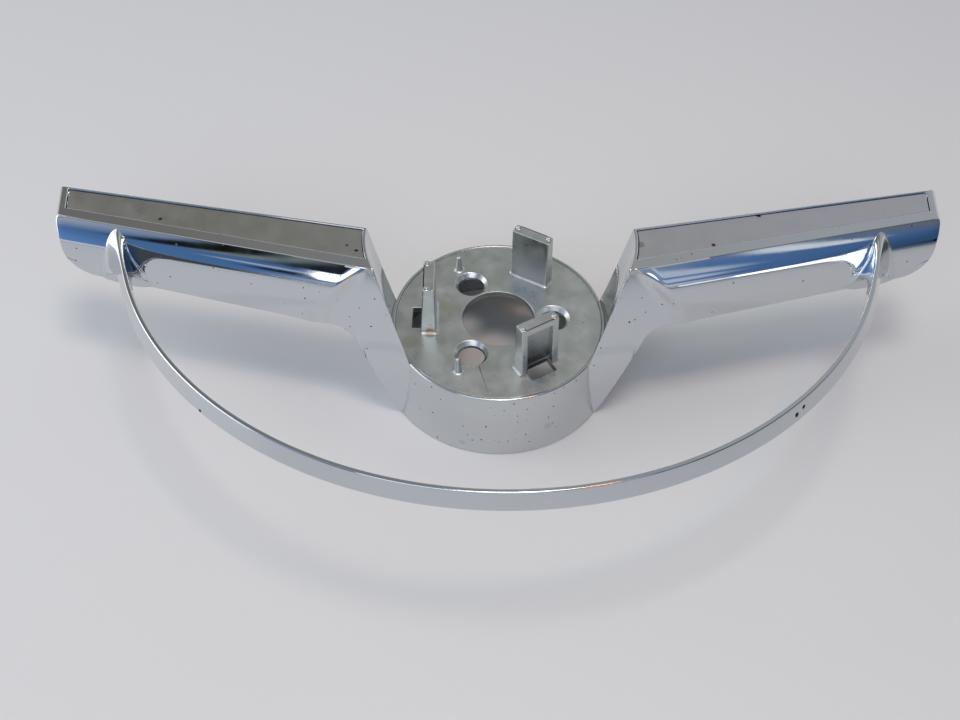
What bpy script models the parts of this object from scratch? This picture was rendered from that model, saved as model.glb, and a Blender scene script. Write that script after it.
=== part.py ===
"""Half-circle horn ring for a car's steering wheel: a plated zinc casting in its natural pieces.

The hub axis is Z and the hub stands on z = 0. The two arms rise from the hub's sides to the
left and the right and sweep back, towards +Y. The half ring joins them round the front, at -Y.
"""
import math

import bmesh
import bpy
from mathutils import Matrix, Vector

MM = 0.001
FIT_GAP = 0.3 * MM            # clearance between neighbouring pieces
CUT_OVER = 1.0 * MM           # how far a cutter stands past the face it cuts

# Hub: a conical skirt with a rolled upper edge, and a plate let into its top
HUB_TOP_RADIUS = 42.0 * MM
HUB_FLARE = 4.0 * MM          # how much wider the skirt is at its base
HUB_HEIGHT = 28.5 * MM
SKIRT_WALL = 2.4 * MM
ROLL_RADIUS = 0.6 * MM        # rounding of the skirt's upper edge
SKIRT_LIP = 1.3 * MM          # width of the upper edge round the plate
PLATE_THICKNESS = 2.8 * MM
PLATE_DROP = 0.4 * MM         # the plate's upper face lies this far under the skirt's edge
CENTRE_HOLE_RADIUS = 14.3 * MM

# Three mounting holes with a lead-in
MOUNT_HOLE_RADIUS = 5.2 * MM
MOUNT_LEAD_RADIUS = 6.7 * MM
MOUNT_LEAD_DEPTH = 1.7 * MM
MOUNT_BRIDGE = 0.6 * MM       # metal left between the centre hole and a lead-in
MOUNT_AZIMUTHS = (0, 120, 240)

# Three catch posts, channels that open outwards, each over a slot in the plate
POST_AZIMUTHS = {"rear": 60, "left": 180, "front": 300}
POST_SETBACK = 9.9 * MM       # from the plate's edge to a post's foot
POST_WIDTH = 16.0 * MM
POST_HEIGHT = 23.0 * MM
POST_FOOT_DEPTH = 5.9 * MM
POST_HEAD_DEPTH = 4.3 * MM
POST_WEB = 2.2 * MM
POST_FLANGE = 2.6 * MM
POST_HEAD_BAR = 3.2 * MM
POST_NUB_RADIUS = 1.3 * MM
POST_NUB_HEAD_RADIUS = 0.8 * MM
POST_NUB_RISE = 0.9 * MM      # how far a nub stands above the head bar
POST_ROUNDING = 0.35 * MM
SLOT_REACH = 3.4 * MM         # how far the plate's slot runs out past the flanges

# Two locating pins, outside two of the mounting holes
PIN_AZIMUTHS = {"rear": 120, "front": 240}
PIN_SPACING = 1.8 * MM        # from a mounting hole's lead-in to the pin's foot
PIN_FOOT_RADIUS = 1.4 * MM
PIN_HEAD_RADIUS = 1.0 * MM
PIN_HEIGHT = 7.0 * MM

# The arms' inner ends follow a leaning cone that opens upwards from the hub's edge
ARM_RISE = 36.5 * MM          # from the hub's edge to the arms' tops
BOWL_FLARE = 8.0 * MM         # how much wider than the hub the cone is at the arms' tops
BOWL_SHIFT = 8.4 * MM         # and how far behind the hub's axis its centre is there

# Arms, given for the right one: its crest is the front edge of its flat top
CREST_AZIMUTH = math.radians(22.5)    # where on the cone's top, before +X, the crest starts
CREST_SWEEP = math.radians(13.4)
REAR_TAPER = math.radians(2.3)    # how much more the crest sweeps back than the rear edge
ARM_ROOT_WIDTH = 21.1 * MM
ARM_END = 165.0 * MM              # the outer end's X, where its raked plane crosses Y = 0
END_RAKE = math.radians(9.4)      # the ends lean outwards towards the rear, in plan
BELLY_OUT = (4.6 * MM, 7.0 * MM, 8.1 * MM)     # how far the front face stands before the crest
BELLY_DROP = (3.7 * MM, 8.1 * MM, 13.4 * MM)   # and how far below the crest it does so
FRONT_LOWER_OUT = 8.5 * MM    # how far the face stands out at the arm's lower edge
FRONT_TOE_OUT = 12.6 * MM     # and at the foot of the leg
BELLY_START = 15.0 * MM       # distance along the crest at which the belly is full
ARM_DEPTH = 25.0 * MM         # from the top to the underside, at the elbow
UNDERSIDE_RISE = math.radians(2.4)
ELBOW_OUT = 17.5 * MM         # from the hub's edge out to the elbow
ELBOW_RADIUS = 8.0 * MM
LEG_TOE_OUT = 1.1 * MM        # from the hub's edge out to the leg's lowest point
TIP_CORNER_RADIUS = 11.0 * MM
TIP_DRAFT = 0.6 * MM          # how much the arm's end leans in towards its underside
ARM_WALL = 2.6 * MM
ARM_FRONT_WALL = 3.5 * MM     # measured level: the face slopes, so the wall itself is thinner
ARM_TOP_WALL = 3.0 * MM
ARM_TIP_WALL = 5.0 * MM
RIB_COUNT = 3
RIB_THICKNESS = 2.0 * MM
RIB_DEPTH = 8.0 * MM

# Panel inserts in the arms' tops
PANEL_FRONT_RIM = 4.6 * MM
PANEL_REAR_RIM = 1.0 * MM
PANEL_END_RIM = 3.5 * MM
PANEL_INNER_RIM = 1.3 * MM
RECESS_DEPTH = 1.4 * MM
PANEL_THICKNESS = 0.6 * MM

# Half ring: its circle, at the outer edge of its narrow top, crosses the arms' crests in plan
RING_END_INSET = 22.5 * MM    # from an arm's end in to that crossing
RING_SETBACK = 25.2 * MM      # from that crossing back to the circle's centre
RING_DROP = 2.2 * MM          # how far the centre lies under the arms' tops
RING_TILT = math.radians(1.7)     # the ring's plane rises towards the front
RING_TOP_WIDTH = 1.5 * MM
RING_HEIGHT = 6.6 * MM
RING_FLARE = 2.4 * MM         # how much wider the outer face is at its foot
RING_INNER_FLARE = 0.4 * MM
RING_STEPS = 72

# Ring roots: trumpets that spread the ring over the arms' front faces, measured along the ring
ROOT_LENGTH = 27.7 * MM       # from the crossing to the root's free end
ROOT_FULL = 7.6 * MM          # from the crossing to where the root has its full size
ROOT_SUNK = 6.3 * MM          # from the crossing back to its end inside the arm
ROOT_SPREAD = 11.5 * MM
ROOT_OUTSET = 1.3 * MM        # how far the root stands outside the ring's circle at the arm
ROOT_STEPS = 8

# Facets
ROUND_STEPS = 96
HOLE_STEPS = 48
PIN_STEPS = 16
NUB_STEPS = 12
CORNER_STEPS = 6
ROLL_STEPS = 3
SECTION_SHARES = (0.0, 0.2, 0.45, 0.75, 1.0)    # heights at which the ring's section is drawn

# Sizes that follow from the ones above
PLATE_RADIUS = HUB_TOP_RADIUS - SKIRT_LIP - FIT_GAP
PLATE_TOP = HUB_HEIGHT - PLATE_DROP
MOUNT_PITCH_RADIUS = CENTRE_HOLE_RADIUS + MOUNT_BRIDGE + MOUNT_LEAD_RADIUS
PIN_PITCH_RADIUS = MOUNT_PITCH_RADIUS + MOUNT_LEAD_RADIUS + PIN_SPACING + PIN_FOOT_RADIUS
POST_INNER_RADIUS = PLATE_RADIUS - POST_SETBACK - POST_FOOT_DEPTH
ARM_TOP_HEIGHT = HUB_HEIGHT + ARM_RISE
UNDERSIDE_HEIGHT = ARM_TOP_HEIGHT - ARM_DEPTH
BOWL_TOP_RADIUS = HUB_TOP_RADIUS + BOWL_FLARE
ELBOW_X = HUB_TOP_RADIUS + ELBOW_OUT
LEG_TOE_X = HUB_TOP_RADIUS + LEG_TOE_OUT
CREST_START = Vector((BOWL_TOP_RADIUS * math.cos(CREST_AZIMUTH),
                      BOWL_SHIFT - BOWL_TOP_RADIUS * math.sin(CREST_AZIMUTH), 0.0))
ALONG = Vector((math.cos(CREST_SWEEP), math.sin(CREST_SWEEP), 0.0))
OUTWARD = Vector((math.sin(CREST_SWEEP), -math.cos(CREST_SWEEP), 0.0))
REAR_ALONG = Vector((math.cos(CREST_SWEEP - REAR_TAPER), math.sin(CREST_SWEEP - REAR_TAPER), 0.0))
REAR_INWARD = Vector((REAR_ALONG.y, -REAR_ALONG.x, 0.0))
RAKE = Vector((math.tan(END_RAKE), 1.0, 0.0))
CROSSING_X = ARM_END - RING_END_INSET
CROSSING_Y = CREST_START.y + (CROSSING_X - CREST_START.x) * math.tan(CREST_SWEEP)
RING_CENTRE_Y = CROSSING_Y + RING_SETBACK
RING_CENTRE_HEIGHT = ARM_TOP_HEIGHT - RING_DROP
RING_RADIUS = math.hypot(CROSSING_X, RING_SETBACK)
CROSSING_ANGLE = math.atan2(RING_SETBACK, CROSSING_X)
CROSSING_UNDERSIDE = UNDERSIDE_HEIGHT + (CROSSING_X - ELBOW_X) * math.tan(UNDERSIDE_RISE)
ROOT_HEIGHT = RING_CENTRE_HEIGHT - CROSSING_UNDERSIDE - FIT_GAP
FAR = 60.0 * MM               # reach of the arm's blanks past the solid
ARM_OVERRUN = 25.0 * MM

COLLECTION = "horn_ring"
CUTTERS = "horn_ring_cutters"


def new_collection(name):
    """Make a collection and link it to the scene."""
    group = bpy.data.collections.new(name)
    bpy.context.scene.collection.children.link(group)
    return group


def link_mesh(name, bm, group):
    """Turn a bmesh into an object in the given collection."""
    bmesh.ops.recalc_face_normals(bm, faces=bm.faces)
    mesh = bpy.data.meshes.new(name)
    bm.to_mesh(mesh)
    bm.free()
    obj = bpy.data.objects.new(name, mesh)
    group.objects.link(obj)
    if group.name == CUTTERS:
        obj.hide_render = True
        obj.display_type = "WIRE"
    return obj


def apply_modifiers(obj):
    """Replace an object's mesh by its evaluated mesh and drop its modifiers."""
    bpy.context.view_layer.update()
    depsgraph = bpy.context.evaluated_depsgraph_get()
    mesh = bpy.data.meshes.new_from_object(obj.evaluated_get(depsgraph))
    obj.modifiers.clear()
    obj.data = mesh


def combine(target, other, operation):
    """Join to, cut from or intersect with the target, then remove the other object."""
    modifier = target.modifiers.new(operation.lower(), "BOOLEAN")
    modifier.operation = operation
    modifier.object = other
    apply_modifiers(target)
    bpy.data.objects.remove(other)


def prism(name, outline, depth_vector, group):
    """Extrude a flat closed outline of 3D points along a vector."""
    bm = bmesh.new()
    face = bm.faces.new([bm.verts.new(point) for point in outline])
    moved = bmesh.ops.extrude_face_region(bm, geom=[face], use_keep_orig=True)
    corners = [item for item in moved["geom"] if isinstance(item, bmesh.types.BMVert)]
    bmesh.ops.translate(bm, verts=corners, vec=depth_vector)
    return link_mesh(name, bm, group)


def loft(name, sections, group):
    """Join closed sections of equal point counts into one capped body."""
    bm = bmesh.new()
    rings = [[bm.verts.new(point) for point in section] for section in sections]
    count = len(sections[0])
    for ring, following in zip(rings, rings[1:]):
        for index in range(count):
            beside = (index + 1) % count
            bm.faces.new((ring[index], ring[beside], following[beside], following[index]))
    bm.faces.new(rings[0])
    bm.faces.new(rings[-1])
    return link_mesh(name, bm, group)


def turned(name, profile, steps, group, angle=math.tau):
    """Turn a closed (radius, z) profile about Z; a part turn gets its two end faces."""
    mesh = bpy.data.meshes.new(name)
    points = [(radius, 0.0, height) for radius, height in profile]
    edges = [(index, (index + 1) % len(points)) for index in range(len(points))]
    mesh.from_pydata(points, edges, [])
    obj = bpy.data.objects.new(name, mesh)
    group.objects.link(obj)
    screw = obj.modifiers.new("turn", "SCREW")
    screw.angle = angle
    screw.steps = steps
    screw.render_steps = steps
    screw.use_merge_vertices = angle == math.tau
    screw.merge_threshold = 0.01 * MM
    apply_modifiers(obj)
    bm = bmesh.new()
    bm.from_mesh(obj.data)
    if angle < math.tau:
        bmesh.ops.holes_fill(bm, edges=[edge for edge in bm.edges if edge.is_boundary], sides=0)
    bmesh.ops.recalc_face_normals(bm, faces=bm.faces)
    bm.to_mesh(obj.data)
    bm.free()
    return obj


def cone(name, foot_radius, head_radius, height, centre, steps, group, lean=0.0):
    """A closed cone or cylinder standing on its centre; lean moves its top towards +Y."""
    bm = bmesh.new()
    bmesh.ops.create_cone(bm, cap_ends=True, segments=steps, radius1=foot_radius,
                          radius2=head_radius, depth=height)
    bmesh.ops.translate(bm, verts=bm.verts, vec=(0.0, 0.0, height / 2))
    for vert in bm.verts:
        vert.co.y += lean * vert.co.z / height
    bmesh.ops.translate(bm, verts=bm.verts, vec=centre)
    return link_mesh(name, bm, group)


def box(name, low, high, group):
    """A closed box between two corners."""
    bm = bmesh.new()
    size = Vector(high) - Vector(low)
    middle = (Vector(high) + Vector(low)) / 2
    bmesh.ops.create_cube(bm, size=1.0, matrix=Matrix.Translation(middle) @ Matrix.Diagonal((*size, 1.0)))
    return link_mesh(name, bm, group)


def bevel(obj, width):
    """Break an object's sharp edges."""
    modifier = obj.modifiers.new("rounding", "BEVEL")
    modifier.width = width
    modifier.segments = 1
    modifier.limit_method = "ANGLE"
    modifier.angle_limit = math.radians(40)
    apply_modifiers(obj)


def mirrored(obj, name, group):
    """A copy of an object on the other side of the X = 0 plane."""
    bm = bmesh.new()
    bm.from_mesh(obj.data)
    bmesh.ops.transform(bm, matrix=Matrix.Diagonal((-1.0, 1.0, 1.0, 1.0)), verts=bm.verts)
    return link_mesh(name, bm, group)


def rounded_corner(before, corner, after, radius):
    """Points of the arc that rounds one corner of an outline in the XZ plane."""
    to_before = (before - corner).normalized()
    to_after = (after - corner).normalized()
    half = to_before.angle(to_after) / 2
    reach = radius / math.tan(half)
    centre = corner + (to_before + to_after).normalized() * radius / math.sin(half)
    start = corner + to_before * reach - centre
    end = corner + to_after * reach - centre
    turn = start.angle(end)
    points = []
    for step in range(CORNER_STEPS + 1):
        share = step / CORNER_STEPS
        weights = math.sin((1 - share) * turn), math.sin(share * turn)
        points.append(centre + (start * weights[0] + end * weights[1]) / math.sin(turn))
    return points


# Hub

def make_skirt(group):
    """The hub's conical wall with its rolled upper edge."""
    base_radius = HUB_TOP_RADIUS + HUB_FLARE
    roll_centre = HUB_TOP_RADIUS - ROLL_RADIUS
    roll_height = HUB_HEIGHT - ROLL_RADIUS
    lip_radius = HUB_TOP_RADIUS - SKIRT_LIP
    profile = [(base_radius, 0.0)]
    for step in range(ROLL_STEPS + 1):
        angle = math.pi / 2 * step / ROLL_STEPS
        radius = roll_centre + ROLL_RADIUS * math.cos(angle)
        profile.append((radius, roll_height + ROLL_RADIUS * math.sin(angle)))
    profile.append((lip_radius, HUB_HEIGHT))
    profile.append((lip_radius, PLATE_TOP - PLATE_THICKNESS))
    profile.append((base_radius - SKIRT_WALL, 0.0))
    return turned("hub_skirt", profile[::-1], ROUND_STEPS, group)


def make_plate(group, cutters):
    """The hub's plate with its centre hole, mounting holes and post slots."""
    bottom = PLATE_TOP - PLATE_THICKNESS
    plate = cone("hub_plate", PLATE_RADIUS, PLATE_RADIUS, PLATE_THICKNESS, (0, 0, bottom),
                 ROUND_STEPS, group)
    deep = PLATE_THICKNESS + 2 * CUT_OVER
    centre = cone("centre_cut", CENTRE_HOLE_RADIUS, CENTRE_HOLE_RADIUS, deep,
                  (0, 0, bottom - CUT_OVER), ROUND_STEPS, cutters)
    combine(plate, centre, "DIFFERENCE")
    for azimuth in MOUNT_AZIMUTHS:
        across = math.radians(azimuth)
        x = MOUNT_PITCH_RADIUS * math.cos(across)
        y = MOUNT_PITCH_RADIUS * math.sin(across)
        hole = cone("mount_cut", MOUNT_HOLE_RADIUS, MOUNT_HOLE_RADIUS, deep,
                    (x, y, bottom - CUT_OVER), HOLE_STEPS, cutters)
        combine(plate, hole, "DIFFERENCE")
        widening = (MOUNT_LEAD_RADIUS - MOUNT_HOLE_RADIUS) / MOUNT_LEAD_DEPTH
        lead = cone("lead_cut", MOUNT_HOLE_RADIUS, MOUNT_LEAD_RADIUS + widening * CUT_OVER,
                    MOUNT_LEAD_DEPTH + CUT_OVER, (x, y, PLATE_TOP - MOUNT_LEAD_DEPTH), HOLE_STEPS, cutters)
        combine(plate, lead, "DIFFERENCE")
    for azimuth in POST_AZIMUTHS.values():
        start = POST_INNER_RADIUS + POST_WEB
        end = POST_INNER_RADIUS + POST_FOOT_DEPTH + SLOT_REACH
        half = POST_WIDTH / 2 - POST_FLANGE
        slot = box("slot_cut", (start, -half, bottom - CUT_OVER), (end, half, PLATE_TOP + CUT_OVER), cutters)
        slot.rotation_euler.z = math.radians(azimuth)
        combine(plate, slot, "DIFFERENCE")
    return plate


def make_post(name, azimuth, group, cutters):
    """One catch post: a web, two flanges and a head bar, with a nub on each outer corner."""
    half = POST_WIDTH / 2
    side = [Vector((0, -half, 0)), Vector((POST_FOOT_DEPTH, -half, 0)),
            Vector((POST_HEAD_DEPTH, -half, POST_HEIGHT)), Vector((0, -half, POST_HEIGHT))]
    post = prism(name, side, Vector((0, POST_WIDTH, 0)), group)
    inner = half - POST_FLANGE
    recess = box("recess_cut", (POST_WEB, -inner, -CUT_OVER),
                 (POST_FOOT_DEPTH + CUT_OVER, inner, POST_HEIGHT - POST_HEAD_BAR), cutters)
    combine(post, recess, "DIFFERENCE")
    bevel(post, POST_ROUNDING)
    sunk = POST_HEAD_BAR / 2
    for side_sign in (-1, 1):
        across = side_sign * (half - POST_NUB_RADIUS)
        foot = (POST_HEAD_DEPTH - POST_NUB_RADIUS, across, POST_HEIGHT - sunk)
        nub = cone("nub", POST_NUB_RADIUS, POST_NUB_HEAD_RADIUS, sunk + POST_NUB_RISE, foot,
                   NUB_STEPS, cutters)
        combine(post, nub, "UNION")
    angle = math.radians(azimuth)
    post.location = (POST_INNER_RADIUS * math.cos(angle), POST_INNER_RADIUS * math.sin(angle),
                     PLATE_TOP + FIT_GAP)
    post.rotation_euler.z = angle
    return post


def make_pin(name, azimuth, group):
    """One tapered locating pin with a rounded head."""
    pin = cone(name, PIN_FOOT_RADIUS, PIN_HEAD_RADIUS, PIN_HEIGHT, (0, 0, 0), PIN_STEPS, group)
    bevel(pin, PIN_HEAD_RADIUS / 3)
    angle = math.radians(azimuth)
    pin.location = (PIN_PITCH_RADIUS * math.cos(angle), PIN_PITCH_RADIUS * math.sin(angle),
                    PLATE_TOP + FIT_GAP)
    return pin


# Arms

def section(station, fullness, inset):
    """The arm's cross-section at a distance along the crest, shrunk by an inset all round."""
    flat_slope = FRONT_LOWER_OUT / ARM_DEPTH
    front = [(0.0, 0.0)]
    for out, drop in zip(BELLY_OUT, BELLY_DROP):
        flat_out = drop * flat_slope
        front.append((flat_out + (out - flat_out) * fullness, drop))
    front.append((FRONT_LOWER_OUT, ARM_DEPTH))
    front.append((FRONT_TOE_OUT, ARM_TOP_HEIGHT))
    points = []
    for out, drop in [(-FAR, 0.0)] + front + [(-FAR, ARM_TOP_HEIGHT)]:
        place = CREST_START + ALONG * station + OUTWARD * (out - inset)
        points.append(place + Vector((0, 0, ARM_TOP_HEIGHT - drop)))
    return points


def front_blank(name, inset, group):
    """Everything behind the arm's front face."""
    stations = ((-ARM_OVERRUN, 0.0), (0.0, 0.0), (BELLY_START, 1.0), (ARM_END, 1.0))
    return loft(name, [section(station, fullness, inset) for station, fullness in stations], group)


def elevation_outline():
    """The arm and leg as seen from the front: top, tip, underside, elbow and leg."""
    tip_underside = UNDERSIDE_HEIGHT + (ARM_END - ELBOW_X) * math.tan(UNDERSIDE_RISE)
    tip_top = Vector((ARM_END, 0, ARM_TOP_HEIGHT))
    tip_corner = Vector((ARM_END - TIP_DRAFT, 0, tip_underside))
    elbow = Vector((ELBOW_X, 0, UNDERSIDE_HEIGHT))
    toe = Vector((LEG_TOE_X, 0, 0.0))
    inner = HUB_TOP_RADIUS / 2
    points = [Vector((inner, 0, ARM_TOP_HEIGHT)), tip_top]
    points += rounded_corner(tip_top, tip_corner, elbow, TIP_CORNER_RADIUS)
    points += rounded_corner(tip_corner, elbow, toe, ELBOW_RADIUS)
    points += [toe, Vector((inner, 0, 0))]
    return points


def elevation_blank(name, group):
    """The elevation outline extruded from front to rear along the raked ends."""
    front = [point - RAKE * FAR for point in elevation_outline()]
    return prism(name, front, RAKE * 2 * FAR, group)


def rear_blank(name, inset, group):
    """Everything in front of the arm's rear face."""
    start = CREST_START - OUTWARD * ARM_ROOT_WIDTH + REAR_INWARD * inset
    inner = start - REAR_ALONG * ARM_OVERRUN
    outer = start + REAR_ALONG * (ARM_END + ARM_OVERRUN)
    away = OUTWARD * FAR
    bottom = Vector((0, 0, -CUT_OVER))
    outline = [inner + bottom, outer + bottom, outer + away + bottom, inner + away + bottom]
    return prism(name, outline, Vector((0, 0, ARM_TOP_HEIGHT + 2 * CUT_OVER)), group)


def bowl(name, cutters):
    """The leaning cone between the arms' inner ends, carried past their top."""
    height = ARM_RISE + CUT_OVER
    scale = height / ARM_RISE
    top_radius = HUB_TOP_RADIUS + BOWL_FLARE * scale
    return cone(name, HUB_TOP_RADIUS, top_radius, height, (0, 0, HUB_HEIGHT),
                ROUND_STEPS, cutters, lean=BOWL_SHIFT * scale)


def hub_blank(name, cutters):
    """The hub's outside with the fit gap added."""
    over = HUB_FLARE / HUB_HEIGHT * CUT_OVER
    return cone(name, HUB_TOP_RADIUS + HUB_FLARE + over + FIT_GAP, HUB_TOP_RADIUS - over + FIT_GAP,
                HUB_HEIGHT + 2 * CUT_OVER, (0, 0, -CUT_OVER), ROUND_STEPS, cutters)


def arm_blank(name, group, cutters):
    """The whole arm and leg as one solid."""
    blank = elevation_blank(name, group)
    combine(blank, front_blank("front", 0.0, cutters), "INTERSECT")
    combine(blank, rear_blank("rear", 0.0, cutters), "INTERSECT")
    return blank


def make_arm_and_leg(group, cutters):
    """The right arm and the leg under it, parted at the height of the arm's underside."""
    arm = arm_blank("arm_right", group, cutters)
    combine(arm, bowl("bowl", cutters), "DIFFERENCE")
    combine(arm, hub_blank("hub", cutters), "DIFFERENCE")
    leg = bpy.data.objects.new("leg_right", arm.data.copy())
    group.objects.link(leg)
    wide = ARM_END + FAR
    above = box("above", (0, -wide, UNDERSIDE_HEIGHT - FIT_GAP), (wide, wide, wide), cutters)
    combine(leg, above, "DIFFERENCE")
    below = box("below", (0, -wide, -CUT_OVER), (wide, wide, UNDERSIDE_HEIGHT), cutters)
    combine(arm, below, "DIFFERENCE")
    combine(arm, arm_hollow(cutters), "DIFFERENCE")
    recess = panel_blank("recess", 0.0, RECESS_DEPTH, CUT_OVER, cutters, cutters)
    combine(arm, recess, "DIFFERENCE")
    return arm, leg


def arm_hollow(cutters):
    """The hollow under the arm, with cross ribs left standing under its top."""
    start = ELBOW_X + ARM_WALL
    end = ARM_END - ARM_TIP_WALL
    roof = ARM_TOP_HEIGHT - ARM_TOP_WALL
    floor = UNDERSIDE_HEIGHT - CUT_OVER
    outline = [Vector((start, 0, floor)), Vector((end, 0, floor)),
               Vector((end, 0, roof)), Vector((start, 0, roof))]
    hollow = prism("hollow", [point - RAKE * FAR for point in outline], RAKE * 2 * FAR, cutters)
    combine(hollow, front_blank("hollow_front", ARM_FRONT_WALL, cutters), "INTERSECT")
    combine(hollow, rear_blank("hollow_rear", ARM_WALL, cutters), "INTERSECT")
    spacing = (end - start) / (RIB_COUNT + 1)
    for index in range(1, RIB_COUNT + 1):
        x = start + spacing * index
        low = roof - RIB_DEPTH
        rib = [Vector((x - RIB_THICKNESS / 2, 0, low)), Vector((x + RIB_THICKNESS / 2, 0, low)),
               Vector((x + RIB_THICKNESS / 2, 0, roof + CUT_OVER)),
               Vector((x - RIB_THICKNESS / 2, 0, roof + CUT_OVER))]
        cut = prism("rib", [point - RAKE * FAR for point in rib], RAKE * 2 * FAR, cutters)
        combine(hollow, cut, "DIFFERENCE")
    return hollow


def panel_blank(name, margin, depth, over, group, cutters):
    """A flat body with the recess's outline, less a margin, from a depth under the top."""
    front_line = CREST_START - OUTWARD * (PANEL_FRONT_RIM + margin)
    rear_line = CREST_START - OUTWARD * ARM_ROOT_WIDTH + REAR_INWARD * (PANEL_REAR_RIM + margin)
    end_x = ARM_END - PANEL_END_RIM - margin
    corners = []
    for point, direction in ((front_line, ALONG), (rear_line, REAR_ALONG)):
        reach = (end_x - point.x + point.y * RAKE.x) / (direction.x - direction.y * RAKE.x)
        corners.append((point - direction * ARM_OVERRUN, point + direction * reach))
    height = Vector((0, 0, ARM_TOP_HEIGHT - depth))
    outline = [corners[0][0] + height, corners[0][1] + height,
               corners[1][1] + height, corners[1][0] + height]
    panel = prism(name, outline, Vector((0, 0, depth + over)), group)
    radius = BOWL_TOP_RADIUS + PANEL_INNER_RIM + margin
    low = ARM_TOP_HEIGHT - depth - CUT_OVER
    inner = cone("inner_end", radius, radius, depth + over + 2 * CUT_OVER, (0, BOWL_SHIFT, low),
                 ROUND_STEPS, cutters)
    combine(panel, inner, "DIFFERENCE")
    return panel


def make_panel(group, cutters):
    """The right arm's panel insert, lying in its recess."""
    lift = RECESS_DEPTH - FIT_GAP
    return panel_blank("panel_right", FIT_GAP, lift, PANEL_THICKNESS - lift, group, cutters)


# Half ring and its roots

def ring_section(growth):
    """Outline of the ring, as offsets (outwards, up) from the outer edge of its top.

    Growth runs from 0 on the free ring to 1 where a root meets the arm's face.
    """
    height = RING_HEIGHT + (ROOT_HEIGHT - RING_HEIGHT) * growth ** 2
    spread = ROOT_SPREAD * growth ** 2
    inner = []
    outer = []
    for share in SECTION_SHARES:
        flare = spread * share
        inner.append((-RING_TOP_WIDTH - RING_INNER_FLARE * share - flare, -height * share))
        outer.append((RING_FLARE * share + flare, -height * share))
    return inner + outer[::-1]


def ring_place(angle, out, up):
    """A point beside the ring, at an angle below +X, in the hub's frame."""
    radius = RING_RADIUS + out
    flat = Vector((radius * math.cos(angle), -radius * math.sin(angle), up))
    tilted = Matrix.Rotation(-RING_TILT, 4, "X") @ flat
    return tilted + Vector((0, RING_CENTRE_Y, RING_CENTRE_HEIGHT))


def make_ring(group):
    """The half ring between its two roots, turned about the ring's own axis."""
    start = CROSSING_ANGLE + (ROOT_LENGTH + FIT_GAP) / RING_RADIUS
    profile = [(RING_RADIUS + out, up) for out, up in ring_section(0.0)]
    ring = turned("half_ring", profile, RING_STEPS, group, angle=math.pi - 2 * start)
    ring.rotation_euler.z = -(math.pi - start)
    plane = bpy.data.objects.new("ring_plane", None)
    group.objects.link(plane)
    plane.location = (0, RING_CENTRE_Y, RING_CENTRE_HEIGHT)
    plane.rotation_euler.x = -RING_TILT
    ring.parent = plane
    return ring, plane


def make_root(group, cutters):
    """The right ring root, cut to sit on the arm's front face."""
    sections = []
    for step in range(ROOT_STEPS + 1):
        passed = (ROOT_LENGTH + ROOT_SUNK) * step / ROOT_STEPS
        angle = CROSSING_ANGLE + (ROOT_LENGTH - passed) / RING_RADIUS
        growth = min(1.0, passed / (ROOT_LENGTH - ROOT_FULL))
        outset = ROOT_OUTSET * growth
        sections.append([ring_place(angle, out + outset, up) for out, up in ring_section(growth)])
    root = loft("ring_root_right", sections, group)
    combine(root, front_blank("face_grown", -FIT_GAP, cutters), "DIFFERENCE")
    return root


# Finish

def dress(obj, colour, roughness):
    """Give an object its own metallic material and smooth shading."""
    material = bpy.data.materials.new(obj.name + "_finish")
    material.use_nodes = True
    shader = material.node_tree.nodes["Principled BSDF"]
    shader.inputs["Base Color"].default_value = (*colour, 1.0)
    shader.inputs["Metallic"].default_value = 1.0
    shader.inputs["Roughness"].default_value = roughness
    obj.data.materials.clear()
    obj.data.materials.append(material)
    obj.data.shade_smooth()
    obj.data.set_sharp_from_angle(angle=math.radians(30))


CHROME = ((0.80, 0.81, 0.83), 0.08)
PLATED_CASTING = ((0.52, 0.53, 0.52), 0.35)
SATIN_PANEL = ((0.60, 0.60, 0.60), 0.40)


def main():
    """Build every piece, mirror the arms' pieces and hang them all on one empty."""
    for obj in list(bpy.data.objects):
        bpy.data.objects.remove(obj)
    group = new_collection(COLLECTION)
    cutters = new_collection(CUTTERS)
    finishes = {}
    finishes[make_skirt(group)] = CHROME
    finishes[make_plate(group, cutters)] = PLATED_CASTING
    for side, azimuth in POST_AZIMUTHS.items():
        finishes[make_post("catch_post_" + side, azimuth, group, cutters)] = PLATED_CASTING
    for side, azimuth in PIN_AZIMUTHS.items():
        finishes[make_pin("locating_pin_" + side, azimuth, group)] = PLATED_CASTING
    arm, leg = make_arm_and_leg(group, cutters)
    root = make_root(group, cutters)
    panel = make_panel(group, cutters)
    for right, finish in ((arm, CHROME), (leg, CHROME), (root, CHROME), (panel, SATIN_PANEL)):
        finishes[right] = finish
        finishes[mirrored(right, right.name.replace("right", "left"), group)] = finish
    ring, plane = make_ring(group)
    finishes[ring] = CHROME
    origin = bpy.data.objects.new("hub_axis", None)
    group.objects.link(origin)
    for obj in (*finishes, plane):
        if obj.parent is None:
            obj.parent = origin
    for obj, (colour, roughness) in finishes.items():
        dress(obj, colour, roughness)


main()
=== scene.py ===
"""Looks of a half-circle horn ring: one plated zinc casting with a brushed insert in each arm.

Z runs up the hub's axis, the arms reach out to -X and +X and sweep back to +Y, and the half
ring closes the front, at -Y. Sizes are in metres, written as millimetres.
"""
import logging
import math
from dataclasses import dataclass
from enum import Enum

import bmesh
import bpy
from mathutils import Matrix, Vector


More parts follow.
